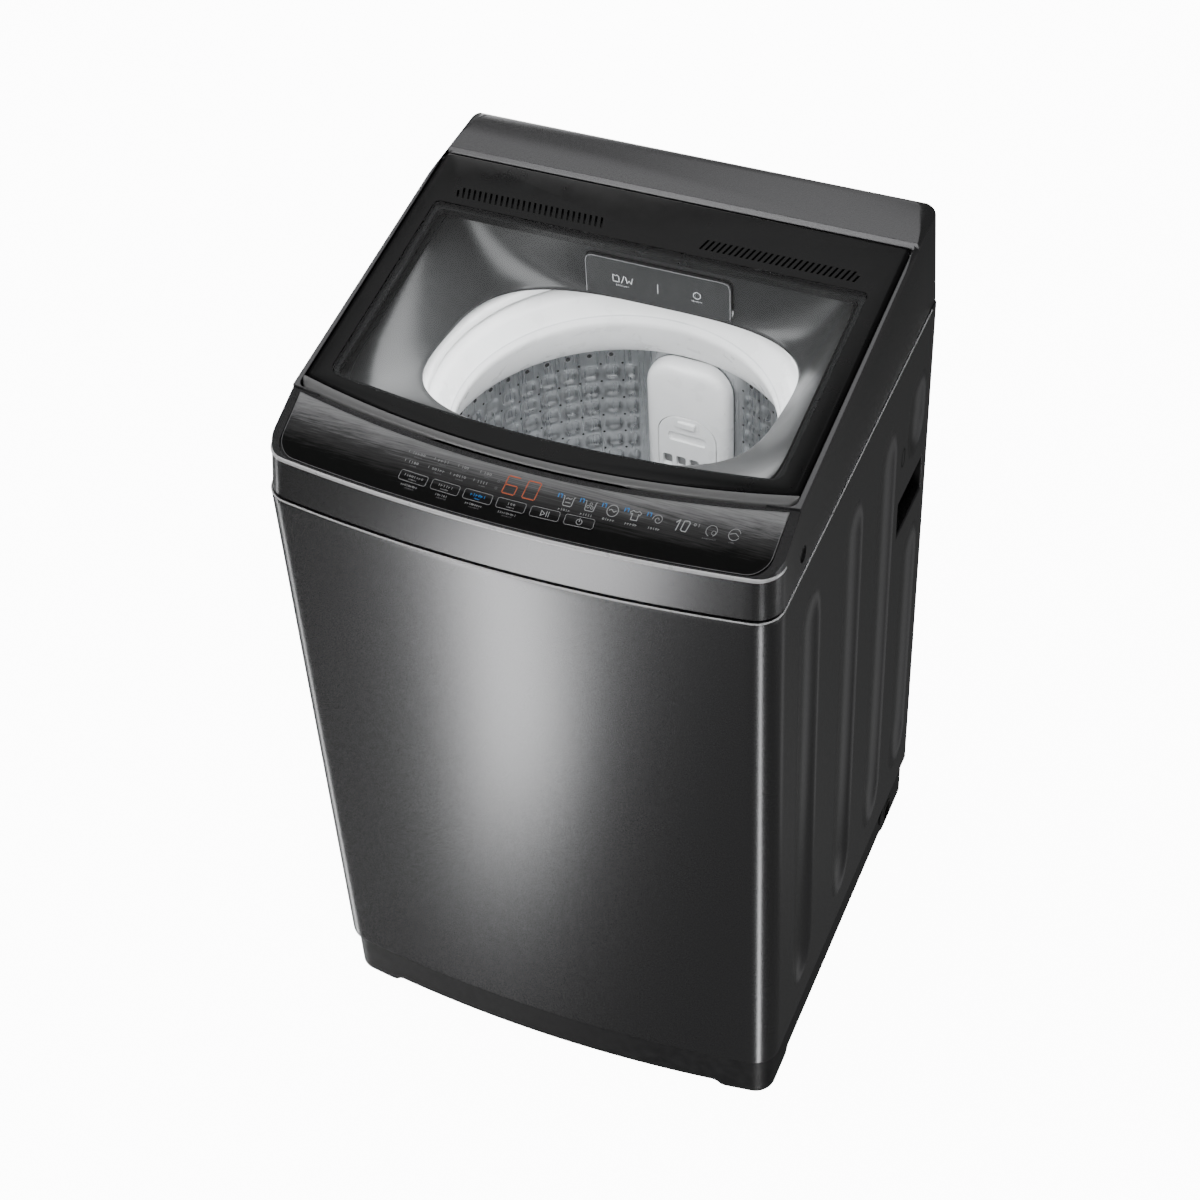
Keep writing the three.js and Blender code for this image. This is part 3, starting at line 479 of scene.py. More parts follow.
def surface(name, dark, light, roughness, spread=0.05, scale=60.0, detail=4.0, stretch=(1, 1, 1),
            grain=0.0, grain_scale=900.0, grain_depth=0.0002, edge=0.0, **values):
    """A surface whose colour and roughness vary a little, with a fine grain."""
    look, tree, shader = nodes_of(name)
    fac = noise(tree, scale, detail, stretch)
    tree.links.new(tint(tree, fac, [(0.3, dark), (0.7, light)]), shader.inputs["Base Color"])
    tree.links.new(ramp(tree, fac, roughness - spread, roughness + spread), shader.inputs["Roughness"])
    rounded = eased_edge(tree, edge) if edge else None
    if grain:
        bump(tree, shader, noise(tree, grain_scale, 2.0, stretch), grain, grain_depth, rounded)
    elif edge:
        tree.links.new(rounded, shader.inputs["Normal"])
    put(shader, **values)
    return look


PAINT_GRAIN = {"grain": 0.06, "grain_scale": 3200, "grain_depth": 0.0001}
SMOOTH_GRAIN = {"grain": 0.03, "grain_scale": 700, "grain_depth": 0.0001}
LOOKS = {
    "paint": surface("cabinet_paint", (0.15, 0.15, 0.154), (0.17, 0.17, 0.174), 0.27, 0.02, 2600,
                     2.0, metallic=0.9, coat=0.1, coat_roughness=0.2, **PAINT_GRAIN),
    "cover": surface("cover_paint", (0.15, 0.15, 0.154), (0.17, 0.17, 0.174), 0.28, 0.02, 2600,
                     2.0, metallic=0.88, coat=0.1, coat_roughness=0.2, edge=1.3, **PAINT_GRAIN),
    "plinth": surface("plinth_plastic", (0.012, 0.012, 0.013), (0.02, 0.02, 0.021), 0.5, 0.05, 90,
                      grain=0.25, grain_scale=1400, grain_depth=0.0002, specular=0.4),
    "dark": surface("dark_plastic", (0.014, 0.014, 0.015), (0.024, 0.024, 0.025), 0.48, 0.05, 80,
                    grain=0.3, grain_scale=1200, grain_depth=0.0002, specular=0.4),
    "lid": surface("lid_black", (0.0062, 0.0062, 0.0066), (0.0078, 0.0078, 0.0082), 0.3, 0.03, 40,
                   specular=0.28),
    "handle": surface("handle_grey", (0.21, 0.21, 0.213), (0.24, 0.24, 0.243), 0.32, 0.03, 1800,
                      2.0, metallic=0.3, coat=0.3, coat_roughness=0.2),
    "deck": surface("deck_grey", (0.0135, 0.0137, 0.014), (0.0145, 0.0147, 0.015), 0.3, 0.02, 50,
                    specular=0.4),
    "drawer": surface("drawer_grey", (0.02, 0.0203, 0.0207), (0.0215, 0.0218, 0.0222), 0.33, 0.02, 50),
    "white": surface("white_plastic", (0.78, 0.78, 0.78), (0.84, 0.84, 0.84), 0.3, 0.04, 30,
                     edge=1.0, **SMOOTH_GRAIN),
    "tub": surface("tub_plastic", (0.62, 0.63, 0.64), (0.7, 0.71, 0.72), 0.42, 0.05, 30,
                   grain=0.1, grain_scale=500, grain_depth=0.0002),
    "pale": surface("pale_plastic", (0.6, 0.61, 0.62), (0.68, 0.69, 0.7), 0.28, 0.04, 30,
                    **SMOOTH_GRAIN),
    "stainless": surface("stainless", (0.42, 0.43, 0.44), (0.52, 0.53, 0.54), 0.3, 0.06, 260,
                         3.0, (1, 1, 0.03), metallic=1.0, grain=0.05, grain_scale=900,
                         grain_depth=0.0001),
    "steel": surface("bright_steel", (0.5, 0.5, 0.51), (0.6, 0.6, 0.61), 0.3, 0.05, 200, metallic=1.0),
    "zinc": surface("zinc_steel", (0.36, 0.37, 0.38), (0.5, 0.51, 0.52), 0.42, 0.08, 45, 3.0,
                    metallic=0.9, grain=0.1, grain_scale=240, grain_depth=0.0002),
    "rear": surface("rear_paint", (0.1, 0.1, 0.103), (0.12, 0.12, 0.123), 0.42, 0.04, 700, 2.0,
                    metallic=0.6, grain=0.08, grain_scale=1800, grain_depth=0.0001),
    "alloy": surface("cast_alloy", (0.42, 0.43, 0.44), (0.55, 0.56, 0.57), 0.5, 0.08, 120,
                     metallic=0.9, grain=0.4, grain_scale=600, grain_depth=0.0004),
    "rubber": surface("black_rubber", (0.012, 0.012, 0.012), (0.02, 0.02, 0.02), 0.7, 0.06, 120,
                      grain=0.3, grain_scale=900, grain_depth=0.0002),
    # painted highlight: near-white diffuse paint for the seam bead's catch light and for the chrome line's
    # reflection
    "painted_highlight_white": surface("painted_highlight_white", (0.86, 0.86, 0.87), (0.9, 0.9, 0.91), 0.3, 0.03, 90,
                           metallic=0.15, specular=0.8),
    # painted shade: a near-black surface for places that are only shade, such as the vent backs, drum holes
    # and bore stops
    "shadow": surface("painted_shade_black", (0.004, 0.004, 0.004), (0.008, 0.008, 0.008), 0.8, 0.05, 90),
    "mark": surface("mark_white", (0.5, 0.51, 0.52), (0.56, 0.57, 0.58), 0.45, 0.03, 300),
    "mark_dim": surface("mark_grey", (0.22, 0.22, 0.23), (0.27, 0.27, 0.28), 0.45, 0.03, 300),
    "mark_blue": surface("mark_blue", (0.02, 0.2, 0.5), (0.03, 0.26, 0.6), 0.4, 0.03, 300,
                         emission=(0.02, 0.25, 0.7), strength=0.5),
    "mark_lit": surface("mark_lit", (0.5, 0.09, 0.03), (0.55, 0.12, 0.04), 0.4, 0.03, 300,
                        emission=(0.8, 0.14, 0.03), strength=0.25),
}


# ---------- cabinet: one sheet with pressed flutes ----------
def flute_depth(y, z):
    """How far the side is pressed in at a point."""
    deepest = 0.0
    for centre in FLUTES:
        spans = [(FLUTE_LOW, FLUTE_HIGH)]
        if centre > HANDLE_Y:
            spans = [(FLUTE_LOW, HANDLE_Z - 59), (HANDLE_Z + 59, FLUTE_HIGH)]
        for low, high in spans:
            run = min(60, (high - low) * 0.4)
            if not low < z < high:
                continue
            near = min((z - low) / run, (high - z) / run, 1.0)
            radius = 54.5 + 9.5 * math.sqrt(max(0.0, 1 - (1 - near) ** 2)) ** 1.15
            across = abs(y - centre)
            if across < radius:
                depth = math.sqrt(radius * radius - across * across) - 56
                deepest = max(deepest, depth)
    return deepest


def cabinet_columns():
    """The sheet's line in plan: a rear flange, round the front and back to the other flange."""
    rear = REAR - 1.6
    holes = [HANDLE_Y - HANDLE_LONG / 2, HANDLE_Y + HANDLE_LONG / 2]
    front = front_of(body_plan(0, rear, steps=72, turn=12), 72, 12)
    side_ys = sorted({*np.linspace(front[-1][1] + 3, rear - 8, 132).round(2), *holes})
    left = [(-HALF, y) for y in reversed(side_ys)]
    right = [(HALF, y) for y in side_ys]
    corner = arc(HALF - 6, rear - 6, 6, 0, math.pi / 2, 5)
    start = [(-x, y) for x, y in reversed(corner)]
    flange = [(262, rear), (243.5, rear)]
    return [(-x, y) for x, y in reversed(flange)] + start + left + front + right + corner + flange


def cabinet_shell():
    columns = cabinet_columns()
    edges = [HANDLE_Z - HANDLE_HIGH / 2, HANDLE_Z + HANDLE_HIGH / 2]
    heights = sorted({CABINET_BASE, 71.2, 73.0, *np.linspace(78, PLAIN_FROM, 118).round(2), *edges})
    top_steps = (0.35, 0.75, 1.0)
    rim_turns = (0.35, 0.7, 1.0, 1.3)
    vertices, faces = [], []
    rows = len(heights) + len(top_steps) + len(rim_turns)
    for x, y in columns:
        seam = seam_z(y) - 0.1
        on_side = abs(abs(x) - HALF) < 0.01
        for z in heights:
            depth = flute_depth(y, z) if on_side else 0.0
            inset = 0.5 * (1 - smoothstep(z, CABINET_BASE, 72.5))
            vertices.append((x - math.copysign(depth + inset, x), y, z))
        for share in top_steps:
            vertices.append((x, y, PLAIN_FROM + (seam - 1.6 - PLAIN_FROM) * share))
        length = math.hypot(x, y)
        for turn in rim_turns:
            inset = 1.5 * (1 - math.cos(min(turn, 1.0) * math.pi / 2)) + max(0, turn - 1) * 7
            lift = 1.6 * math.sin(min(turn, 1.0) * math.pi / 2)
            vertices.append((x - inset * x / HALF, y - inset * y / length, seam - 1.6 + lift))
    for c in range(len(columns) - 1):
        mid_y = (columns[c][1] + columns[c + 1][1]) / 2
        side = abs(abs(columns[c][0]) - HALF) < 0.01 and abs(abs(columns[c + 1][0]) - HALF) < 0.01
        for r in range(rows - 1):
            z = (heights[r] + heights[r + 1]) / 2 if r + 1 < len(heights) else HEIGHT
            if side and abs(mid_y - HANDLE_Y) < HANDLE_LONG / 2 and abs(z - HANDLE_Z) < HANDLE_HIGH / 2:
                continue
            a, b = c * rows + r, (c + 1) * rows + r
            faces.append((a, b, b + 1, a + 1))
    thing = thicken(new_object("cabinet_shell", vertices, faces, 30), 1.2, -1)
    finish_piece(thing, "housing", "paint", "cabinet_paint", "cabinet")


def spring_brackets():
    """The four corner plates inside the cabinet that the tub hangs from."""
    plates = []
    for side in (-1, 1):
        for y, (y0, y1) in ((TUB_Y - SPRING_Y, (-236, -182)), (TUB_Y + SPRING_Y, (214, 264))):
            x0, x1 = sorted((side * 212, side * 266))
            plate = block(x0, x1, y0, y1, 786, 788)
            hole = lathe([(0, 780), (6, 780), (6, 795), (0, 795)], side * SPRING_X, y, 24)
            plates.append(cut(plate, hole))
    thing = join("tub_hanger_plates", *plates)
    finish_piece(thing, "housing", "zinc", "galvanised")


# ---------- base ----------
def plinth_shell():
    """A moulded skirt, raised off the floor between its corners, with feet blocks and ribs inside."""
    def under(x, y):
        front = smoothstep(abs(x), 208, 220) if y < -180 else 0
        side = smoothstep(y, 178, 194)
        return 11.4 - 8.4 * max(front, side)

    plan = body_plan(PLINTH_INSET, steps=96, turn=12)
    dense = []
    for i, (x, y) in enumerate(plan):
        nx, ny = plan[(i + 1) % len(plan)]
        pieces = max(1, int(math.hypot(nx - x, ny - y) / 8))
        dense += [(x + (nx - x) * k / pieces, y + (ny - y) * k / pieces) for k in range(pieces)]
    clean = [p for i, p in enumerate(dense) if math.dist(p, dense[i - 1]) > 0.3]
    edge, shoulder = 1.4, 68
    rings = [(0.9, lambda low: low), (0.25, lambda low: low + 0.5), (0, lambda low: low + edge)]
    rings += [(0, lambda low, s=share: low + edge + (shoulder - low - edge) * s)
              for share in (0.1, 0.3, 0.6, 0.9)]
    rings += [(inset, lambda low, z=z: z)
              for inset, z in ((0, 68.6), (0.3, 69.7), (1.2, PLINTH_TOP), (24, PLINTH_TOP))]
    skin = tidy(loft([[(x * (1 - inset / 275), y * (1 - inset / 266), height(under(x, y))) for x, y in clean]
                      for inset, height in rings], "plinth_skin", caps=False))
    settle(thicken(skin, 3.4, -1))
    cut(skin, rod_x(17, 240, 300, 195, 42, 40))
    shade(skin, 40)
    parts = [skin]
    for side in (-1, 1):
        x0, x1 = sorted((side * 214, side * 268))
        bore = lathe([(0, -5), (6.6, -5), (6.6, 50), (0, 50)], side * FOOT_X, FOOT_Y, 24)
        parts.append(soften(cut(block(x0, x1, -240, -192, 17, 66), bore), 2.0))
        parts.append(soften(block(x0, x1, 222, 262, 4, 66), 2.0))
        pad = lathe([(0, 0), (15.8, 0), (17, 1.2), (17, 14), (0, 14)], side * 244, 238, 48)
        parts.append(shade(pad, 30))
        for y in (-120, -40, 40, 120):
            x_in, x_out = sorted((side * 262, side * 271))
            parts.append(block(x_in, x_out, y - 1.6, y + 1.6, 16, 66))
    thing = join("plinth_moulding", *parts)
    finish_piece(thing, "housing", "plinth", "dark_plastic", "base_plinth")


def screw_feet():
    for side, name in ((-1, "left"), (1, "right")):
        profile = [(0, 0), (17.5, 0), (19.4, 0.8), (21, 3.4), (21, 8.6), (19.8, 9.8), (12, 10.6),
                   (7, 12.6), (6, 13.2)]
        for i in range(13):
            profile += [(6, 14 + i * 2), (5.2, 15 + i * 2)]
        profile += [(6, 40), (0, 40)]
        thing = shade(lathe(profile, side * FOOT_X, FOOT_Y, 48, f"screw_foot_{name}"), 30)
        finish_piece(thing, f"{name}_foot", "rubber", "black_rubber", f"foot_{name}")


# ---------- upper cover ----------
def console_profile(shrink=1.0, drop=0.0):
    side = [(248 + 26.5 * math.cos(a), 929 + 19 * math.sin(a))
            for a in np.linspace(0, math.pi / 2, 18)]
    mirrored = [(-x, z) for x, z in reversed(side)]
    points = [(-310, 780), (310, 780), (310, 928.9), *side, *mirrored, (-310, 928.9)]
    return [(x * shrink, z - drop) for x, z in points]


def tapered_at(x, y, z):
    rise = max(z - 810.5, 0)
    pull = (y / FRONT) * 0.19 * rise if y < 0 else 0
    return x * (1 - 0.0576 * rise / HALF), y + pull, z


def tapered_prism(points, low, high):
    return tidy(loft([[tapered_at(x, y, z) for x, y in points] for z in (low, high)]))


def sloped(low, high, y0=-330, y1=330):
    return side_solid([(y0, lid_z(y0) + low), (y1, lid_z(y1) + low), (y1, lid_z(y1) + high),
                       (y0, lid_z(y0) + high)])


def panel_layer(low, high):
    return bent_solid([(-330, panel_z(-330) + low), (-170, panel_z(-170) + low),
                       (-170, panel_z(-170) + high), (-330, panel_z(-330) + high)])


def panel_plan(grow):
    return bowed_plan(PANEL_HALF + grow, PANEL_FRONT - grow, PANEL_REAR + grow, 19.6, PANEL_CORNER + grow,
                      3, 30)


def lid_plan(grow, rear=LID_REAR):
    return bowed_plan(LID_HALF + grow, -196.5 - grow, rear + grow, 29.5, 9, 6)


def cover_outside():
    body = tapered_prism(body_plan(0), 795, 960)
    keep(body, front_solid(console_profile(), -340, 340))
    above_panel = bent_solid([(-340, panel_z(-340)), (-190, panel_z(-190)), (-190, 1000), (-340, 1000)])
    above_rim = side_solid([(-230, lid_z(-230) - 1.5), (CONSOLE_FRONT, lid_z(CONSOLE_FRONT) - 1.5),
                            (CONSOLE_FRONT, 1000), (-230, 1000)])
    above_console = side_solid([(CONSOLE_FRONT - 4, 931.4), (CONSOLE_FRONT - 1, 934.6),
                                (CONSOLE_FRONT + 2.8, 939.3), (267, HEIGHT), (REAR + 5, HEIGHT - 5),
                                (300, 1000), (CONSOLE_FRONT - 4, 1000)])
    return cut(body, above_panel, above_rim, above_console)


def cover_inside():
    shell = tapered_prism(body_plan(4), 780, 960)
    keep(shell, front_solid(console_profile(0.985, 3.5), -340, 340))
    front = bent_solid([(-340, 770), (-180, 770), (-180, panel_z(-180) - 8), (-340, panel_z(-340) - 8)])
    main = side_solid([(-210, 770), (290, 770), (290, 944), (267, 944), (CONSOLE_FRONT + 4, 935),
                       (CONSOLE_FRONT + 4, lid_z(CONSOLE_FRONT) - 25), (-210, lid_z(-210) - 25)])
    combine(front, [main], "UNION")
    return keep(shell, front)


def top_cover_shell():
    body = cover_outside()
    below = side_solid([(-300, seam_z(-300) + 1.5), (-300, 700), (300, 700), (300, seam_z(300) + 1.5)])
    pocket = keep(prism(lid_plan(0.8, CONSOLE_FRONT - 2), 760, 1000), sloped(-20, 90))
    deck_hole = prism(bowed_plan(259, -180, 197, 24, 14, 10), 760, 1000)
    panel_pocket = keep(prism(panel_plan(0.7), 800, 1000), panel_layer(-3.3, 60))
    window = keep(prism(bowed_plan(150, -250, -212, 6, 4), 800, 1000), panel_layer(-30, 60))
    groove = cut(tapered_prism(body_plan(-2), 856.4, 860.2), tapered_prism(body_plan(2.9), 850, 870),
                 block(-300, 300, -221.7, 300, 840, 880))
    rear_window = block(-229, 229, 262, 280, 838, 926)
    cut(body, cover_inside(), below, pocket, deck_hole, panel_pocket, window, groove, rear_window)
    for side in (-1, 1):
        cut(body, rod_x(9, *sorted((side * 275.4, side * 290)), -168, 834, 36))
    triangles(body)
    body.name = "top_cover_moulding"
    shade(body, 30)
    finish_piece(body, "housing", "cover", "cover_paint", "top_cover")


def swept(name, path, section, caps=True):
    """A skin along a path; section(x, y, out_x, out_y) gives the ring at each of its points."""
    loops = []
    for i, (x, y) in enumerate(path):
        ax, ay = path[max(i - 1, 0)]
        bx, by = path[min(i + 1, len(path) - 1)]
        length = math.hypot(bx - ax, by - ay)
        loops.append(section(x, y, (by - ay) / length, -(bx - ax) / length))
    return loft(loops, name, caps)


def chrome_line():
    """The bright strip let into the groove under the panel; its near-white colour is a painted reflection in
    place of chrome.
    """
    front = front_of(body_plan(0, steps=120, turn=14), 120, 14)
    left = [(-HALF, y) for y in np.linspace(GROOVE_END, front[0][1] + 1, 5)]
    right = [(HALF, y) for y in np.linspace(front[-1][1] + 1, GROOVE_END, 5)]
    section = [(0.55 * math.cos(angle), 858.25 + 1.5 * math.sin(angle))
               for angle in np.linspace(-math.pi / 2, math.pi / 2, 9)]
    section += [(-2.2, 859.7), (-2.2, 856.8)]

    def ring(x, y, out_x, out_y):
        placed = [(push - 0.5, tapered_at(x, y, z)) for push, z in section]
        return [(tx + out_x * push, ty + out_y * push, tz) for push, (tx, ty, tz) in placed]

    thing = shade(tidy(swept("chrome_line", left + front + right, ring)), 50)
    finish_piece(thing, "housing", "painted_highlight_white", "bright_trim", "chrome_trim")


def seam_painted_highlight():
    """A painted highlight: a near-white bead on the cabinet's rolled top edge, just under the seam."""
    front = front_of(body_plan(0, REAR - 1.6, steps=120, turn=14), 120, 14)
    path = [(-HALF, y) for y in np.linspace(250, front[0][1] + 2, 40)] + front
    path += [(HALF, y) for y in np.linspace(front[-1][1] + 2, 250, 40)]
    radius = 0.95

    def ring(x, y, out_x, out_y):
        circle_angles = np.linspace(0, 2 * math.pi, 9)[:-1]
        places = [(radius * math.cos(a) - 0.65, radius * math.sin(a)) for a in circle_angles]
        return [(x + out_x * push, y + out_y * push, seam_z(y) - 1.0 + rise) for push, rise in places]

    thing = shade(swept("seam_painted_highlight", path, ring), 50)
    finish_piece(thing, "housing", "painted_highlight_white", "cabinet_paint")


# ---------- control panel ----------
def key_matrix(x):
    yaw = math.atan(2 * BOW * x / HALF ** 2)
    place = Matrix.Translation((x * MM, (KEY_U + bow_at(x)) * MM, panel_z(KEY_U) * MM))
    return place @ Matrix.Rotation(math.atan(PANEL_SLOPE), 4, "X") @ Matrix.Rotation(yaw, 4, "Z")


def key_block(x, grow, low, high):
    outline = rounded_rectangle(31 + grow, 11.5 + grow, 2.4)
    thing = prism(outline, low, high)
    thing.data.transform(key_matrix(x))
    return thing


def panel_look():
    """A brushed film with a painted sheen that turns it from black at the front to grey at the rear."""
    look, tree, shader = nodes_of("panel_brushed_painted_sheen")
    place = add(tree, "TexCoord").outputs["Object"]
    height = add(tree, "SeparateXYZ", Vector=place).outputs["Z"]
    # painted sheen: the colour lightens with height across the panel and its keys, in place of reflected
    # light
    share = ramp(tree, height, 0.0, 1.0, 0.8615, 0.8865)
    streaks = ramp(tree, noise(tree, 9.0, 6.0, (0.35, 60, 90), 0.7), -0.16, 0.16, 0.3, 0.7)
    streaks_and_painted_sheen = calculate(tree, "ADD", streaks, share)
    colour = tint(tree, streaks_and_painted_sheen, [(0.28, (0.0035, 0.0035, 0.0037)), (0.62, (0.075, 0.075, 0.077)),
                                (1.0, (0.42, 0.42, 0.43))])
    tree.links.new(colour, shader.inputs["Base Color"])
    put(shader, roughness=0.32, metallic=0.3, coat=0.4, coat_roughness=0.12)
    return look


def panel_point(x, u, lift=0.0):
    """A point of the panel's face; u is its depth before the bow is added."""
    return x, u + bow_at(x) - 0.395 * lift, panel_z(u) + 0.919 * lift


def panel_edge(x, grow=0.0):
    """The front and rear u of the panel's outline at an x."""
    half = PANEL_HALF + grow
    corner = PANEL_CORNER + grow
    front = PANEL_FRONT - grow
    beyond = abs(x) - (half - corner)
    if beyond > 0:
        front += corner - math.sqrt(max(corner ** 2 - beyond ** 2, 0))
    rear = PANEL_REAR + grow + 10.4 * (x / half) ** 2
    return front, rear


def panel_columns(half):
    inner = list(np.linspace(-238, 238, 97))
    outer = [240 + (half - 240) * math.sin(a) for a in np.linspace(0.05, math.pi / 2, 12)]
    return [-x for x in reversed(outer)] + inner + outer


def control_plate():
    xs = panel_columns(PANEL_HALF)
    rows = 16
    top, bottom = [], []
    for x in xs:
        front, rear = panel_edge(x)
        for k in range(rows):
            u = front + (rear - front) * k / (rows - 1)
            top.append(panel_point(x, u))
            bottom.append(panel_point(x, u, -2.6))
    offset = len(top)
    faces = []
    for c in range(len(xs) - 1):
        for r in range(rows - 1):
            a, b = c * rows + r, (c + 1) * rows + r
            faces.append((a, b, b + 1, a + 1))
            faces.append((offset + a, offset + a + 1, offset + b + 1, offset + b))
        for r in (0, rows - 1):
            a, b = c * rows + r, (c + 1) * rows + r
            quad = (a, offset + a, offset + b, b)
            faces.append(quad if r == 0 else tuple(reversed(quad)))
    for c in (0, len(xs) - 1):
        for r in range(rows - 1):
            a = c * rows + r
            quad = (a, a + 1, offset + a + 1, offset + a)
            faces.append(quad if c == 0 else tuple(reversed(quad)))
    thing = tidy(new_object("control_plate", top + bottom, faces))
    cut(thing, *[key_block(x, 0.6, -9, 9) for x in KEY_XS])
    shade(thing, 30)
    finish_piece(thing, "housing", "panel", "panel_black", "control_panel")


def ribbon(store, points, width, closed=False, lift=0.14, at=panel_point):
    """A thin flat line through points of a surface."""
    if closed:
        points = [*points, points[0]]
    vertices, faces = store
    for (ax, ay), (bx, by) in zip(points, points[1:]):
        length = math.hypot(bx - ax, by - ay)
        if length < 1e-6:
            continue
        dx, dy = (bx - ax) / length, (by - ay) / length
        over_x, over_y = dx * width * 0.4, dy * width * 0.4
        ax, ay, bx, by = ax - over_x, ay - over_y, bx + over_x, by + over_y
        nx, ny = -dy * width / 2, dx * width / 2
        start = len(vertices)
        for px, py in ((ax + nx, ay + ny), (ax - nx, ay - ny), (bx - nx, by - ny), (bx + nx, by + ny)):
            vertices.append(at(px, py, lift))
        faces.append((start, start + 1, start + 2, start + 3))


def circle(cx, cy, radius, start=0.0, end=360.0, steps=28):
    return [(cx + radius * math.cos(math.radians(start + (end - start) * i / steps)),
             cy + radius * math.sin(math.radians(start + (end - start) * i / steps)))
            for i in range(steps + 1)]


def squiggle(store, x, u, length, height, seed, width=0.42, **more):
    """A small generic caption: a row of short strokes that spells nothing."""
    random = np.random.default_rng(seed)
    count = max(2, int(length / (height * 1.05)))
    step = length / count
    for i in range(count):
        px = x - length / 2 + (i + 0.5) * step
        low, high = u - height / 2, u + height / 2
        kind = random.integers(0, 3)
        if kind == 0:
            ribbon(store, circle(px, u, height * 0.36, 0, 360, 10), width, **more)
        elif kind == 1:
            ribbon(store, [(px - step * 0.25, low), (px - step * 0.25, high * 0.5 + u * 0.5)], width, **more)
            ribbon(store, [(px - step * 0.25, u), (px + step * 0.2, u)], width, **more)
        else:
            ribbon(store, [(px, low), (px, high)], width, **more)


def store_piece(name, store, look, body, slot):
    finish_piece(new_object(name, *store), body, look, slot)


def digit(store, x, segments):
    """A leaning seven-segment digit."""
    high, wide, base = 17.6, 13.2, -226.6
    lean, gap = 0.08, 0.9
    half = high / 2
    lines = {
        "a": [(0, high), (wide, high)], "b": [(wide, high), (wide, half)], "c": [(wide, half), (wide, 0)],
        "d": [(0, 0), (wide, 0)], "e": [(0, 0), (0, half)], "f": [(0, half), (0, high)],
        "g": [(0, half), (wide, half)],
    }
    for name in segments:
        (ax, ay), (bx, by) = lines[name]
        length = math.hypot(bx - ax, by - ay)
        dx, dy = (bx - ax) / length * gap, (by - ay) / length * gap
        ribbon(store, [(x + ax + dx + lean * ay, base + ay + dy), (x + bx - dx + lean * by, base + by - dy)],
               1.0)


def process_icons(store, blue):
    xs = (53, 76, 99, 122, 145)
    for i, x in enumerate(xs):
        ribbon(blue, [(x - 11.5, -214.2), (x - 11.5, -217.4)], 0.8)
        ribbon(blue, [(x - 9.8, -214.2), (x - 7.9, -214.2), (x - 7.9, -217.4)], 0.7)
    for x in xs[:2]:
        u = -219.5
        ribbon(store, [(x - 6, u + 4.4), (x - 5, u + 4.0), (x - 4.5, u - 4), (x - 3.6, u - 5),
                       (x + 3.6, u - 5), (x + 4.5, u - 4), (x + 5, u + 4.0), (x + 6, u + 4.4)], 0.75)
    ribbon(store, [(50, -217.5), (52, -216.5), (54, -217.5), (56, -216.5)], 0.7)
    ribbon(store, [(50.5, -221), (55.5, -221)], 0.7)
    for cx, cu in ((74, -220.5), (78, -221), (76.2, -217.6)):
        ribbon(store, circle(cx, cu, 1.3, 0, 360, 12), 0.6)
    ribbon(store, circle(99, -219.5, 5.6), 0.8)
    ribbon(store, [(95.5, -219.5), (97.5, -218.3), (100.5, -220.5), (102.5, -219.3)], 0.8)
    u = -219.5
    ribbon(store, [(119, u + 4.5), (116.4, u + 2.6), (117.6, u + 0.6), (118.9, u + 1.4), (118.9, u - 4.8),
                   (125.1, u - 4.8), (125.1, u + 1.4), (126.4, u + 0.6), (127.6, u + 2.6), (125, u + 4.5),
                   (123.4, u + 3.4), (120.6, u + 3.4)], 0.75, closed=True)
    spiral = [(145 + (0.9 + 0.0085 * a) * math.cos(math.radians(a)),
               -219.5 + (0.9 + 0.0085 * a) * math.sin(math.radians(a))) for a in range(0, 560, 20)]
    ribbon(store, spiral, 0.65)
    for i, x in enumerate(xs):
        squiggle(store, x - 1, -228.6, 13, 2.2, 40 + i, 0.45)


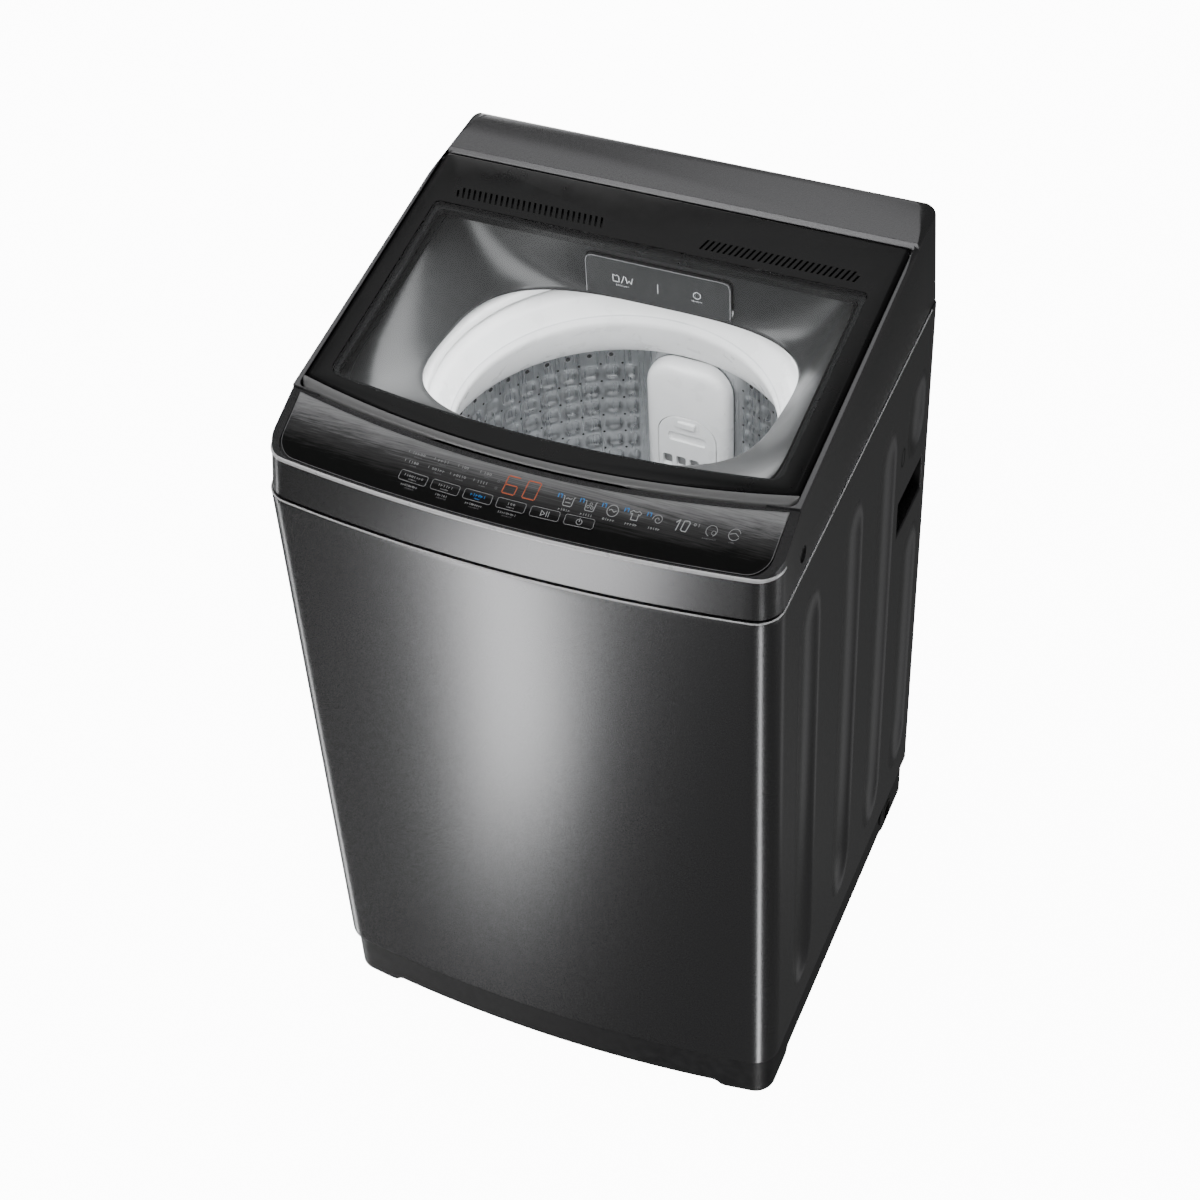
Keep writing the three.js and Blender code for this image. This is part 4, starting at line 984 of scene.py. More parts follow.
def panel_marks():
    white, dim, blue, lit = ([], []), ([], []), ([], []), ([], [])
    for row, (u, shift) in enumerate(((-212.8, 0), (-222.2, -2))):
        for i, x in enumerate((-113, -85, -61, -36)):
            length = (15, 13, 8, 9)[i] if row == 0 else (12, 15, 14, 12)[i]
            tick = x + shift - length / 2 - 3.4
            ribbon(white, [(tick, u + 1.4), (tick, u - 0.6)], 0.5)
            squiggle(white, x + shift, u, length, 2.5, 10 * row + i, 0.46)
            squiggle(dim, x + shift + 0.5, u - 3.6, length * 0.6, 1.1, 60 + 10 * row + i, 0.32)
    for i, x in enumerate(KEY_XS[:4]):
        squiggle(white, x - 1, KEY_U - 8.6, (19, 14, 19, 20)[i], 2.0, 90 + i, 0.42)
        squiggle(dim, x, KEY_U - 11.4, 11, 1.0, 96 + i, 0.3)
    digit(lit, -15.5, "afedcg")
    digit(lit, 6.2, "abcdef")
    for u in (-210, -217, -224):
        ribbon(dim, circle(-22.5, u, 1.1, 0, 360, 12), 0.4)
    ribbon(dim, [(27, -211), (29, -208), (31, -211)], 0.4, closed=True)
    process_icons(white, blue)
    ribbon(white, [(163.4, -218.2), (166.4, -215.4), (165, -226)], 1.0)
    ribbon(white, [(170.6, -216), (169.4, -224.8), (171.2, -226), (174.8, -226), (176.6, -217.2),
                   (175.2, -215.6), (172, -215.6)], 1.0, closed=True)
    squiggle(white, 183.6, -217.8, 8, 3.0, 120, 0.55)
    ribbon(white, circle(199, -221, 5.4, -60, 250), 0.6)
    ribbon(white, circle(201.6, -222.6, 2.0), 0.5)
    ribbon(white, circle(221.5, -221, 5.6, 20, 330), 0.6)
    ribbon(white, [(217, -221), (222, -219.5), (226, -222.5)], 0.5)
    squiggle(dim, 199, -229, 14, 1.1, 121, 0.3)
    squiggle(dim, 221, -229, 6, 1.1, 122, 0.3)
    xs = panel_columns(263.9)
    outline = [(x, panel_edge(x, -0.7)[0]) for x in xs]
    outline += [(x, panel_edge(x, -0.7)[1]) for x in reversed(xs)]
    ribbon(dim, outline, 0.55, closed=True, lift=0.08)
    store_piece("panel_marks", white, "mark", "housing", "panel_black")
    store_piece("panel_marks_faint", dim, "mark_dim", "housing", "panel_black")
    store_piece("panel_marks_blue", blue, "mark_blue", "housing", "panel_black")
    store_piece("panel_display", lit, "mark_lit", "housing", "panel_black")


def key_marks(name, x):
    def at(px, py, lift):
        point = key_matrix(x) @ Vector((px * MM, py * MM, (0.12 + lift) * MM))
        return tuple(c / MM for c in point)

    store = ([], [])
    blue = ([], [])
    ribbon(store, rounded_rectangle(30.2, 10.7, 2.2), 0.42, closed=True, lift=0.1, at=at)
    if name == "power":
        ribbon(store, circle(0, -0.3, 2.9, 118, 422, 24), 0.75, at=at)
        ribbon(store, [(0, 3.6), (0, 0)], 0.75, at=at)
    elif name == "start_pause":
        ribbon(store, [(-4, 2.8), (-4, -2.8), (0, 0)], 0.65, closed=True, at=at)
        ribbon(store, [(1.8, 2.8), (1.8, -2.8)], 0.7, at=at)
        ribbon(store, [(4, 2.8), (4, -2.8)], 0.7, at=at)
    elif name == "process":
        squiggle(blue, 0, 0.9, 17, 2.6, 31, 0.5, at=at)
        squiggle(blue, 0, -2.8, 6, 1.1, 32, 0.3, at=at)
    else:
        length = {"water_temp": 22, "program": 17}.get(name, 9)
        squiggle(store, 0, 1.0, length, 2.4, len(name), 0.46, at=at)
        squiggle(store, 0, -2.6, 9, 1.1, len(name) + 7, 0.3, at=at)
    store_piece(f"key_marks_{name}", store, "mark", f"button_{name}", "panel_black")
    if blue[0]:
        store_piece(f"key_marks_{name}_blue", blue, "mark_blue", f"button_{name}", "panel_black")


def keys():
    for name, x in zip(KEY_NAMES, KEY_XS):
        cap = key_block(x, 0, -4, 0.12)
        cap.name = f"key_cap_{name}"
        soften(cap, 0.25, 2, 50)
        finish_piece(cap, f"button_{name}", "panel", "panel_black", f"key_{name}")
        key_marks(name, x)


# ---------- lid ----------
def lid_loops(insets):
    loops = []
    for inset, drop in insets:
        plan = bowed_plan(LID_HALF - inset, -187.6 + inset * 0.25, LID_REAR - inset * 0.5, 34,
                          max(9 - inset, 2.5), max(7 - inset, 2))
        loops.append([(x, y, lid_z(y) + drop) for x, y in plan])
    return loops


def window_plan(grow):
    return bowed_plan(240 + grow, -157.5 - grow, 115 + grow, 19.5, 10 + grow, 6)


def vent_cutter():
    slots = []
    for i in range(27):
        x = 55 + i * 6.5
        short = 5 if i == 26 else 0
        outline = [(x, 132), (x + 2.6, 132), (x + 7.2 - short * 0.3, 147 - short),
                   (x + 4.6 - short * 0.3, 147 - short)]
        for side in (-1, 1):
            points = [(side * px, py) for px, py in outline]
            if side < 0:
                points.reverse()
            slots.append(prism(points, lambda y: lid_z(y) - 4.6, lambda y: lid_z(y) + 20))
    return join("slots", *slots)


def lid_frame_piece():
    insets = [(0.6, -12), (0, -11.2), (0, -5.2), (0.35, -3.9), (1.2, -2.5), (2.6, -1.2), (4.2, -0.4),
              (6.0, 0.0)]
    thing = tidy(loft(lid_loops(insets), "lid_surround"))
    keep(thing, front_solid(console_profile(0.985), -340, 340))
    opening = prism(window_plan(0), BELOW, ABOVE)
    seat = keep(prism(window_plan(6.2), BELOW, ABOVE), sloped(-4.3, 50))
    cut(thing, opening, seat, vent_cutter())
    triangles(thing)
    shade(thing, 30)
    finish_piece(thing, "lid", "lid", "lid_black", "lid_frame")
    # A near-black plate under the vent slots: painted shade seen through them.
    low = lid_z(140) - 8.2
    back = join("vent_shade_plate", *[block(*sorted((side * 50, side * 236)), 128, 152, low, low + 0.8)
                                for side in (-1, 1)])
    finish_piece(back, "lid", "shadow", "lid_black")


def glass_look():
    """Clear glass that mirrors on its outer side only."""
    look, tree, shader = nodes_of("clear_glass")
    tree.nodes.remove(shader)
    clear = add(tree, "BsdfTransparent", Color=(0.95, 0.96, 0.965, 1))
    gloss = add(tree, "BsdfGlossy", Roughness=0.02, Color=(1, 1, 1, 1))
    edge = add(tree, "Fresnel", IOR=1.3)
    outside = calculate(tree, "SUBTRACT", 1.0, add(tree, "NewGeometry").outputs["Backfacing"])
    mix = add(tree, "MixShader", Fac=calculate(tree, "MULTIPLY", edge.outputs["Fac"], outside))
    feed(tree, mix.inputs[1], clear.outputs["BSDF"])
    feed(tree, mix.inputs[2], gloss.outputs["BSDF"])
    out = next(n for n in tree.nodes if n.type == "OUTPUT_MATERIAL")
    tree.links.new(mix.outputs["Shader"], out.inputs["Surface"])
    return look


def lid_glass_piece():
    plan = window_plan(5.9)
    loops = [[(x, y, lid_z(y) + level) for x, y in plan] for level in (-3.3, -0.2)]
    thing = soften(tidy(loft(loops, "lid_pane")), 0.5, 2, 60)
    finish_piece(thing, "lid", "glass", "clear_glass", "lid_glass")


def lid_grip():
    """The strip along the lid's front edge, scooped at the middle for the fingers."""
    radius_front = (LID_HALF ** 2 + 29.5 ** 2) / 59
    radius_back = ((LID_HALF + 2) ** 2 + 34.5 ** 2) / 69
    loops = []
    for x in np.linspace(-LID_HALF, LID_HALF, 181):
        front = -196.5 + radius_front - math.sqrt(radius_front ** 2 - x * x)
        back = -188.4 + radius_back - math.sqrt(radius_back ** 2 - x * x)
        end = smoothstep(abs(x), 259, LID_HALF)
        front += 7.5 * end ** 2
        back = max(back, front + 2.5)
        scoop = 1 - smoothstep(abs(x), 96, 128)
        low = -11.6 + 6.8 * scoop
        section = [
            (back, low), (front + 2.4, low), (front + 0.6, low + 1.2), (front, low + 2.4 + 0.4 * scoop),
            (front + 0.2, -3.6 + 1.0 * scoop), (front + 1.2, -1.9), (front + 2.6, -1.0), (back, -0.7),
        ]
        loops.append([(x, y, lid_z(y) + drop) for y, drop in section])
    thing = shade(tidy(loft(loops, "lid_grip_strip")), 32)
    finish_piece(thing, "lid", "handle", "handle_grey", "lid_handle")


# ---------- deck and dispenser ----------
def bowl_ring(t, grow=0.0, count=176):
    inside = min(max(t, 0), 1)
    ease = inside ** 1.15
    power = 9 + (3.2 - 9) * ease
    a = 236 + (193 - 236) * inside + grow
    b = 155 + (144 - 155) * inside + grow
    ring = []
    for i in range(count):
        angle = 2 * math.pi * i / count
        c, s = math.cos(angle), math.sin(angle)
        x = a * math.copysign(abs(c) ** (2 / power), c)
        y = -2 + 16 * inside + b * math.copysign(abs(s) ** (2 / power), s)
        top = lid_z(y) - 16.4
        mouth = 843.8 - 0.118 * y
        ring.append((x, y, top + (mouth - top) * t))
    return ring


def deck_bowl():
    steps = [0, 0.04, 0.1, 0.18, 0.28, 0.4, 0.52, 0.64, 0.74, 0.83, 0.9, 0.95, 0.985, 1.0, 1.02]
    bowl = loft([bowl_ring(t) for t in steps], "bowl", caps=False)
    tidy(settle(thicken(bowl, 2.6, 1)))
    hole = [(x, DRAWER_Z + z) for x, z in rounded_rectangle(171.4, 53.4, 8.7)]
    cut(bowl, front_solid(hole, 120, 230))
    seat = keep(prism(lid_plan(0.3, CONSOLE_FRONT - 2.6), BELOW, ABOVE), sloped(-19.4, -16.4))
    cut(seat, tidy(loft([bowl_ring(t, 0.6) for t in (-0.4, 0, 0.3, 1.4)])))
    triangles(bowl)
    triangles(seat)
    thing = join("deck_bowl", shade(bowl, 40), shade(seat, 30))
    finish_piece(thing, "housing", "deck", "deck_grey", "inner_deck")


def deck_marks(x, z, lift):
    return x, DRAWER_FACE - 0.05 - lift, z


DRAWER_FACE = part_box("dispenser_drawer")[0].y / MM


def drawer():
    thing = soften(copy_of("dispenser_drawer", "drawer_moulding"), 1.2, 3, 40)
    finish_piece(thing, "drawer", "drawer", "deck_grey", "dispenser_drawer")
    store = ([], [])
    at = deck_marks
    x = -43
    ribbon(store, [(x - 9, 862), (x - 9, 853), (x - 2, 853), (x - 2, 860), (x - 4, 862), (x - 6, 860.5)], 0.8,
           closed=True, at=at)
    ribbon(store, [(x + 1, 852.5), (x + 4, 862)], 0.8, at=at)
    ribbon(store, [(x + 6, 861), (x + 7.5, 853.5), (x + 10, 857), (x + 12.5, 853.5), (x + 14, 861)], 0.8,
           at=at)
    squiggle(store, x + 2, 848.6, 16, 1.9, 5, 0.4, at=at)
    ribbon(store, [(0.5, 849), (0.5, 861)], 0.6, at=at)
    ribbon(store, circle(46, 857.5, 4.6, 30, 390, 6), 0.7, at=at)
    ribbon(store, circle(46, 857.5, 1.9), 0.6, at=at)
    squiggle(store, 46, 849.6, 13, 1.7, 6, 0.4, at=at)
    store_piece("drawer_marks", store, "mark", "drawer", "deck_grey")
    line = ([], [])
    low, high = (corner.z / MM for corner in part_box("dispenser_drawer"))
    half = [(84, low + 1), (84, high - 9), (82, high - 3), (76, high - 0.8)]
    outline = [(-x, z) for x, z in half] + half[::-1]
    ribbon(line, outline, 0.5, at=at)
    store_piece("drawer_edge_line", line, "mark_dim", "drawer", "deck_grey")


# ---------- tub and drum ----------
def ring_and_cover():
    ring = smooth_curve([(200, 708.2), (195, 716), (188.6, 729), (180.5, 750), (176, 764), (177.6, 772),
                         (181.5, 779), (186.6, 789.5), (190.6, 796.6), (197, 800.8), (204, 802),
                         (212, 799), (219, 792), (222, 786)], 6) + [(222, 708.2)]
    line = [(178.1, 774.6), (178.6, 775.4), (178.9, 776.0), (178.2, 775.2)]
    cover = smooth_curve([(198, 808.6), (197.4, 812), (198.6, 817.4), (202.5, 819.7), (208, 820),
                          (215.5, 817.4), (222, 812.2), (232, 800.6), (240, 790), (240, 775.5)], 6)
    cover += [(236, 775.5), (236, 788), (219, 807), (206, 813)]
    for name, profile, angle, body, look, nodes in (
        ("balance_ring_piece", ring, 28, "drum", "white", ["balance_ring"]),
        ("balance_ring_line", line, 60, "drum", "pale", []),
        ("tub_cover_piece", cover, 40, "tub", "white", ["tub_cover"]),
    ):
        thing = shade(lathe(profile, 0, TUB_Y, 192, name), angle)
        finish_piece(thing, body, look, "white_plastic", *nodes)


def drum_radius(angle, z):
    """How far the wall is pressed outwards: rounded squares between the perforations."""
    if not EMBOSS_TOP - EMBOSS_ROWS * EMBOSS_PITCH <= z <= EMBOSS_TOP or from_filter(angle) < 0.33:
        return 0.0
    u = (angle / (2 * math.pi) * EMBOSS_COLUMNS) % 1 - 0.5
    v = ((EMBOSS_TOP - z) / EMBOSS_PITCH) % 1 - 0.5
    du, dv = abs(u) / 0.35, abs(v) / 0.32
    d = (du ** 4 + dv ** 4) ** 0.25
    return 2.9 * (1 - smoothstep(d, 0.78, 1.1))


def from_filter(angle):
    """The angle between a place on the drum and the lint filter."""
    return abs(((angle - math.pi / 2 - FILTER_TURN + math.pi) % (2 * math.pi)) - math.pi)


def drum_wall():
    around = EMBOSS_COLUMNS * 11
    bottom = EMBOSS_TOP - EMBOSS_ROWS * EMBOSS_PITCH
    heights = [285.5, *np.linspace(bottom, EMBOSS_TOP, EMBOSS_ROWS * 9 + 1), 684, 692, 700, 706, 707.4]
    vertices = []
    for i in range(around):
        angle = 2 * math.pi * i / around
        for z in heights:
            radius = DRUM_SKIN + drum_radius(angle, z)
            vertices.append((radius * math.cos(angle), TUB_Y + radius * math.sin(angle), z))
    faces = grid(around, len(heights), closed=False, wrap=True)
    thing = thicken(new_object("drum_wall", vertices, faces, 60), 0.7, -1)
    finish_piece(thing, "drum", "stainless", "stainless", "drum_shell")
    holes, rims = ([], []), ([], [])
    for i in range(EMBOSS_COLUMNS):
        angle = 2 * math.pi * i / EMBOSS_COLUMNS
        away = from_filter(angle)
        if away < 0.3:
            continue
        for k in range(EMBOSS_ROWS + 1):
            wall_disc(holes, angle, EMBOSS_TOP - k * EMBOSS_PITCH, 1.5, DRUM_SKIN - 0.15)
        if away > 0.32:
            middle = angle + math.pi / EMBOSS_COLUMNS
            wall_disc(rims, middle, DRUM_TOP_HOLES, 4.4, DRUM_SKIN - 0.2)
            wall_disc(holes, middle, DRUM_TOP_HOLES, 2.9, DRUM_SKIN - 0.4)
    # The perforations as near-black discs: painted shade in place of open holes.
    store_piece("drum_hole_shade", holes, "shadow", "drum", "stainless")
    store_piece("drum_hole_rims", rims, "steel", "drum", "stainless")


def wall_disc(store, angle, z, radius, out, sides=12):
    vertices, faces = store
    start = len(vertices)
    for k in range(sides):
        a = 2 * math.pi * k / sides
        turn = angle + radius * math.cos(a) / out
        vertices.append((out * math.cos(turn), TUB_Y + out * math.sin(turn), z + radius * math.sin(a)))
    faces.append(tuple(range(start, start + sides)))


def drum_floor():
    thing = lathe([(20, 262), (66, 262), (214, 274), (214, 283), (211, 285), (206, 285), (200, 282.4),
                   (188, 279.4), (150, 277), (20, 270)], 0, TUB_Y, 128, "drum_floor")
    shade(thing, 30)
    finish_piece(thing, "drum", "pale", "pale_plastic", "drum_base")


def agitator():
    """A dish with six raised vanes, and its cap."""
    dish_radii = [0, 19, 19.6, 24, 40, 60, 150, 166, 170]
    dish_heights = [305.2, 305.2, 309, 309, 300, 293, 290.8, 294.4, 291.5]
    rings = [0, 9, 19.4, 22, 26, 32, 40, 50, 60, 75, 90, 105, 120, 135, 148, 156, 162, 166, 168.6, 170]
    under = ((168, 287.5), (150, 284.2), (9.3, 284.2))
    count = 216

    def height(radius, angle):
        swirl = angle * 6 + 0.35 * math.sin(radius / 60)
        crest = max(0.0, math.cos(swirl)) ** 7
        reach = smoothstep(radius, 26, 50) * (1 - smoothstep(radius, 150, 165))
        return np.interp(radius, dish_radii, dish_heights) + crest * reach * (14 - 0.04 * radius)

    angles = [2 * math.pi * i / count for i in range(count)]
    vertices = [(r * math.cos(a), TUB_Y + r * math.sin(a), height(r, a)) for r in rings for a in angles]
    vertices += [(r * math.cos(a), TUB_Y + r * math.sin(a), z) for r, z in under for a in angles]
    faces = [(a, d, c, b) for a, b, c, d in grid(len(rings) + len(under), count)]
    thing = shade(tidy(new_object("agitator_dish", vertices, faces), normals=False), 50)
    finish_piece(thing, "agitator", "pale", "pale_plastic", "pulsator")
    profile = smooth_curve([(18.6, 305.3), (18.6, 308.6), (16.8, 311.2), (12, 313.8), (6, 314.8),
                            (0.01, 315)], 4)
    cap = shade(lathe(profile + [(0.01, 305.3)], 0, TUB_Y, 64, "agitator_cap"), 40)
    finish_piece(cap, "agitator", "deck", "deck_grey", "pulsator_cap")


def in_filter(thing):
    thing.data.transform(Matrix.Translation((0, TUB_Y * MM, 0)) @ Matrix.Rotation(FILTER_TURN, 4, "Z"))
    return thing


def arch(width, base, top, radius, steps=14):
    x = width / 2 - radius
    return [(-width / 2, base), (width / 2, base), *arc(x, top - radius, radius, 0, math.pi / 2, steps),
            *arc(-x, top - radius, radius, math.pi / 2, math.pi, steps)]


def filter_pieces():
    """The lint filter's body with its studs, the flap with its openings, and the net."""
    loops = []
    for inset, y in ((0, 211), (0, 199), (0.4, 195.4), (1.6, 192), (4.2, 189.2), (8, 187.5), (13, 187)):
        outline = arch(106 - 2 * inset, 330 + inset, 699 - inset, 34 - inset * 0.8)
        loops.append([(x, min(y, math.sqrt(209.2 ** 2 - x * x)), z) for x, z in outline])
    shell = tidy(loft(loops, "filter_surround"))
    doorway = front_solid(arch(75, 397, 627, 30), 150, 240)
    lint = front_solid(arch(92, 350, 660, 24), 196.5, 240)
    cut(shell, doorway, lint)
    triangles(shell)
    studs = [soften(rod_y(2.3, 187.6, 195, side * 45.4, z, 24), 0.8, 3, 40)
             for side in (-1, 1) for z in (648, 560, 470, 380)]
    thing = in_filter(join("filter_surround", shade(shell, 35), *studs))
    finish_piece(thing, "drum", "white", "pale_plastic", "filter_frame")

    plate = front_solid(arch(73.4, 398.6, 625.9, 29.3), 186.6, 192)
    cutters = [front_solid([(-22, 588), (22, 588), (24, 592), (24, 596), (22, 601), (-22, 601), (-24, 596),
                            (-24, 592)], 180, 189.6)]
    for row in range(6):
        for column in range(4):
            x, z = -25.5 + column * 17, 556 - row * 25
            opening = [(px + x, pz + z) for px, pz in rounded_rectangle(12, 16.5, 2.6, 4)]
            cutters.append(front_solid(opening, 180, 200))
    cut(plate, join("cutters", *cutters))
    triangles(plate)
    latch = front_solid(rounded_rectangle(22, 8, 1.2, 3), 183.5, 190)
    latch.data.transform(Matrix.Translation((0, 0, 616 * MM)))
    notch = front_solid([(-15, 610), (-11.6, 610), (-11.6, 622.6), (11.6, 622.6), (11.6, 610), (15, 610),
                         (15, 625), (-15, 625)], 186.45, 186.9)
    door = in_filter(join("filter_flap_door", shade(plate, 35), soften(latch, 0.8, 3, 40), notch))
    finish_piece(door, "filter_flap", "white", "pale_plastic", "filter_door")
    net = in_filter(join("lint_net", front_solid(arch(72, 400, 575, 10), 196.8, 197.2)))
    finish_piece(net, "drum", "net", "pale_plastic")


def net_look():
    look, tree, shader = nodes_of("lint_net")
    place = add(tree, "TexCoord").outputs["Object"]
    check = add(tree, "TexChecker", Scale=700, Color1=(0.28, 0.28, 0.285, 1),
                Color2=(0.42, 0.42, 0.425, 1), Vector=place)
    tree.links.new(check.outputs["Color"], shader.inputs["Base Color"])
    put(shader, roughness=0.7)
    return look


# ---------- small parts and carried-over nodes ----------
def rounded_copy(node, body, look, slot, width):
    thing = soften(copy_of(node, f"{node}_piece"), width, 2, 40)
    finish_piece(thing, body, look, slot, node)


def screw_head(x, y, z, direction):
    """A pan-head screw that faces the rear or the side."""
    head = lathe([(0, 0), (4.2, 0), (4.2, 0.7), (3.4, 1.8), (1.4, 2.2), (1.2, 1.2), (0, 1.2)], 0, 0, 28)
    shade(head, 30)
    if direction == "rear":
        turn = Matrix.Rotation(-math.pi / 2, 4, "X")
    else:
        turn = Matrix.Rotation(math.copysign(math.pi / 2, x), 4, "Y")
    head.data.transform(Matrix.Translation((x * MM, y * MM, z * MM)) @ turn)
    return head


def seam_flange():
    """The upstand inside the cabinet's top edge that the cover sits over, coloured near black as painted
    shade behind the seam gap.
    """
    outer = prism(body_plan(6), lambda y: seam_z(y) - 8, lambda y: seam_z(y) + 6)
    cut(outer, prism(body_plan(7.2), 700, 900), block(-300, 300, 262, 300, 700, 900))
    triangles(outer)
    shade(outer, 30)
    outer.name = "seam_flange"
    finish_piece(outer, "housing", "dark", "galvanised")


def rear_rail():
    """The folded rail that carries the rear panel's top edge up to the cover."""
    face = block(-262, 262, 266.6, 267.8, 790, 823.6)
    ledge = block(-262, 262, 240, 267.2, 822.4, 823.6)
    thing = join("rear_rail", soften(face, 0.4, 2, 40), soften(ledge, 0.4, 2, 40))
    finish_piece(thing, "housing", "rear", "galvanised")


def bore_backs():
    """Near-black stops inside the drain spigot and the cord gland: painted shade that closes the bores."""
    stops = []
    for node, rod, along, across in (("drain_outlet", rod_x, 0, 1), ("power_gland", rod_y, 1, 0)):
        low, high = ([c / MM for c in corner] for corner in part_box(node))
        middle, level = (low[across] + high[across]) / 2, (low[2] + high[2]) / 2
        stops.append(rod((high[2] - low[2]) * 0.3, low[along] + 1, low[along] + 2, middle, level))
    finish_piece(join("bore_shade_stops", *stops), "housing", "shadow", "black_rubber")


def screws():
    heads = []
    for x in (-252, 252):
        for z in (100, 270, 440, 610, 780):
            heads.append(screw_head(x, 271.4 - 2.2, z, "rear"))
    for x in (-222, -120, 120, 222):
        heads.append(screw_head(x, 259.0, 918 if abs(x) > 200 else 846, "rear"))
    thing = join("rear_screws", *heads)
    finish_piece(thing, "housing", "zinc", "galvanised")
    side = join("cover_screws", *[screw_head(s * 273.6, -168, 834, "side") for s in (-1, 1)])
    finish_piece(side, "housing", "steel", "galvanised")


def side_clips():
    """The oval hose clip sockets beside the upper end of the last flute."""
    parts = []
    for side in (-1, 1):
        outer, inner = ([(167.5 + y, 678 + z) for y, z in rounded_rectangle(width, high, radius, 8)]
                        for width, high, radius in ((12, 25, 5.8), (8, 21, 3.9)))
        ring = side_solid(outer, *sorted((side * 279.0, side * 280.0)))
        cut(ring, side_solid(inner, *sorted((side * 277, side * 283))))
        parts.append(soften(ring, 0.3, 2, 40))
    finish_piece(join("hose_clip_sockets", *parts), "housing", "dark", "dark_plastic")


def coil_springs():
    """The four suspension springs as coils."""
    turns, steps = 5, 5 * 36
    up = np.array((0, 0, 1))
    for sx, sy, name in ((-1, -1, "front_left"), (1, -1, "front_right"), (-1, 1, "rear_left"),
                         (1, 1, "rear_right")):
        node = f"suspension_spring_{name}"
        low, high = (corner.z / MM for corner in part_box(node))
        cx, cy = sx * SPRING_X, TUB_Y + sy * SPRING_Y
        loops = []
        for i in range(steps + 1):
            a = 2 * math.pi * turns * i / steps
            z = low + 2 + (high - low - 4) * i / steps
            centre = np.array((cx + 10.5 * math.cos(a), cy + 10.5 * math.sin(a), z))
            out = np.array((math.cos(a), math.sin(a), 0))
            loops.append([tuple(centre + 1.8 * (math.cos(b) * out + math.sin(b) * up))
                          for b in np.linspace(0, 2 * math.pi, 11)[:-1]])
        thing = shade(tidy(loft(loops, f"coil_spring_{name}")), 50)
        finish_piece(thing, "housing", "steel", "spring_steel", node)
        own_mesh(thing)


def carried_over():
    """The plain parts: some with rounded edges, and the rest as the CAD has them."""
    for node, look, slot, width in (
        ("rear_panel", "rear", "galvanised", 0.6), ("console_back", "dark", "dark_plastic", 0.8),
        ("carry_handle_left", "dark", "dark_plastic", 1.6),
        ("carry_handle_right", "dark", "dark_plastic", 1.6),
        ("drain_outlet", "rubber", "black_rubber", 0.8), ("power_gland", "rubber", "black_rubber", 0.8),
        ("inlet_valve", "white", "white_plastic", 0.8), ("dispenser_housing", "deck", "deck_grey", 0.6),
    ):
        rounded_copy(node, "housing", look, slot, width)
    looks = {
        "dark": "control_board lid_switch drain_actuator", "tub": "outer_tub",
        "rubber": "drive_belt drain_hose",
        "steel": "lid_pin_left lid_pin_right spin_shaft wash_shaft", "white": "drain_valve drain_pull_rod",
        "alloy": "clutch_housing motor_pulley drive_pulley",
        "zinc": "support_plate motor brake_lever suspension_rod_front_left suspension_rod_front_right "
                "suspension_rod_rear_left suspension_rod_rear_right",
    }
    for look, nodes in looks.items():
        for node in nodes.split():
            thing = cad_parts[node]
            thing.data.materials.clear()
            thing.data.materials.append(LOOKS[look])
            shade(thing, 35)


# ---------- studio ----------
def area_light(name, place, target, size, power, size_y=None):
    data = bpy.data.lights.new(name, "AREA")
    data.shape = "RECTANGLE"
    data.size = size
    data.size_y = size_y or size
    data.energy = power
    thing = bpy.data.objects.new(name, data)
    bpy.context.scene.collection.objects.link(thing)
    thing.location = place
    thing.rotation_mode = "QUATERNION"
    thing.rotation_quaternion = (Vector(target) - Vector(place)).to_track_quat("-Z", "Y")
    thing.visible_camera = False
    return thing


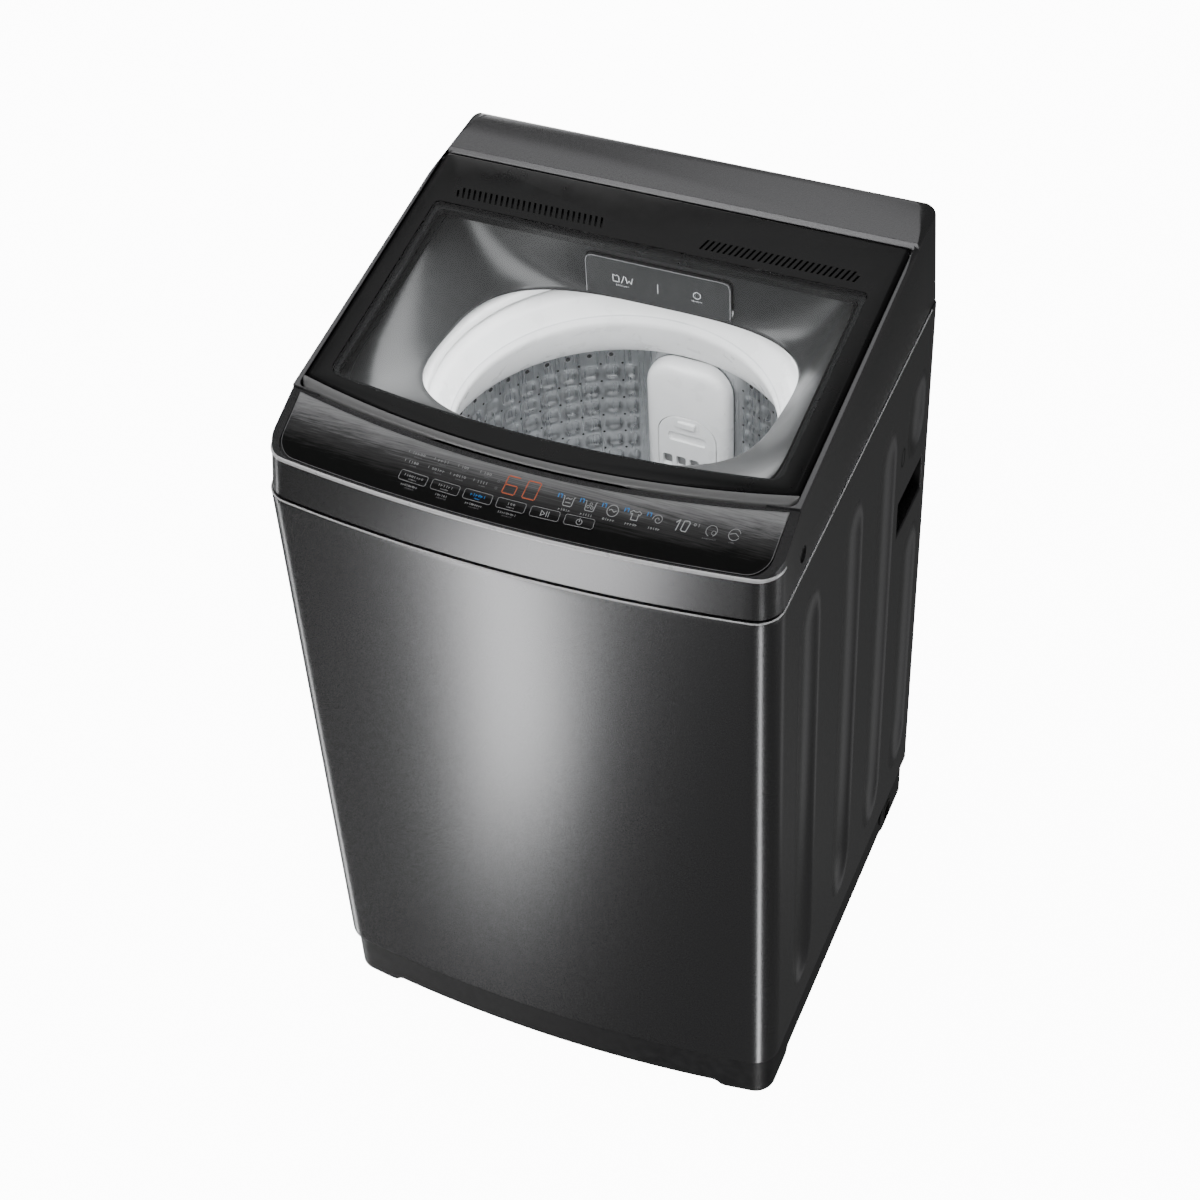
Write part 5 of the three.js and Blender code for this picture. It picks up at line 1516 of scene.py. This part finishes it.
def studio():
    """A white floor, a background that is bright only to the camera, and soft lights."""
    reach = 9000
    corners = [(-reach, -reach, 0), (reach, -reach, 0), (reach, reach, 0), (-reach, reach, 0)]
    floor = new_object("studio_floor", corners, [(0, 1, 2, 3)])
    floor.data.materials.append(LOOKS["floor"])
    floor.visible_glossy = False
    floor.visible_diffuse = False
    floor.visible_shadow = False
    world = bpy.data.worlds.new("studio")
    bpy.context.scene.world = world
    world.use_nodes = True
    tree = world.node_tree
    back = next(n for n in tree.nodes if n.type == "BACKGROUND")
    seen = add(tree, "LightPath").outputs["Is Camera Ray"]
    level = add(tree, "MapRange", To_Min=0.07, To_Max=12.0, Value=seen)
    tree.links.new(level.outputs["Result"], back.inputs["Strength"])
    back.inputs["Color"].default_value = (1, 1, 1, 1)
    area_light("overhead", (-0.3, -0.6, 3.4), (0, 0, 0.6), 2.6, 60).visible_glossy = False
    area_light("front_glow", (-0.81, -1.82, -0.73), (-0.111, -0.50, 0.857), 0.32, 10, size_y=1.1)
    area_light("skirt_glow", (-0.31, -1.58, 0.20), (0.05, -0.27, 0.835), 0.52, 3.3, size_y=0.22)
    area_light("left_edge", (-1.55, -0.36, -0.85), (-0.27, -0.25, 0.45), 0.2, 6, size_y=1.6)
    area_light("right_edge", (0.95, -1.2, -0.75), (0.27, -0.25, 0.45), 0.14, 6, size_y=1.6)
    area_light("right_fill", (1.4, 1.1, -0.6), (0.28, 0.05, 0.5), 0.5, 0.5, size_y=1.4)
    area_light("rear_fill", (-1.2, 2.4, 1.2), (0, 0.2, 0.5), 1.2, 14)
    area_light("rear_soft", (-1.0, 3.1, 0.1), (0, 0.27, 0.5), 1.3, 34)
    area_light("side_soft_right", (3.1, 0.25, 0.05), (0.28, 0, 0.5), 1.2, 26)
    area_light("side_soft_left", (-3.1, 0.25, 0.05), (-0.28, 0, 0.5), 1.2, 26)
    area_light("edge_line", (-0.75, -1.54, 2.56), (0, 0.2, 0.93), 1.6, 7, size_y=0.35).visible_diffuse = False
    area_light("under_glass", (0, -0.02, 0.902), (0, 0.108, -0.09), 0.42, 2.6, size_y=0.22)
    area_light("sky", (-0.75, 1.34, 3.05), (0, 0.2, 0.93), 2.4, 9, size_y=1.5).visible_diffuse = False


LOOKS["panel"] = panel_look()
LOOKS["glass"] = glass_look()
LOOKS["net"] = net_look()
LOOKS["floor"] = surface("studio_floor", (0.78, 0.78, 0.78), (0.8, 0.8, 0.8), 0.8, 0.03, 3,
                         emission=(1, 1, 1), strength=12.0)

for build in (
    cabinet_shell, spring_brackets, plinth_shell, screw_feet, top_cover_shell, chrome_line,
    seam_painted_highlight, control_plate, panel_marks, keys, lid_frame_piece, lid_glass_piece, lid_grip,
    deck_bowl, drawer, ring_and_cover, drum_wall, drum_floor, agitator, filter_pieces, seam_flange,
    rear_rail, bore_backs, screws, side_clips, coil_springs, carried_over, studio,
):
    build()
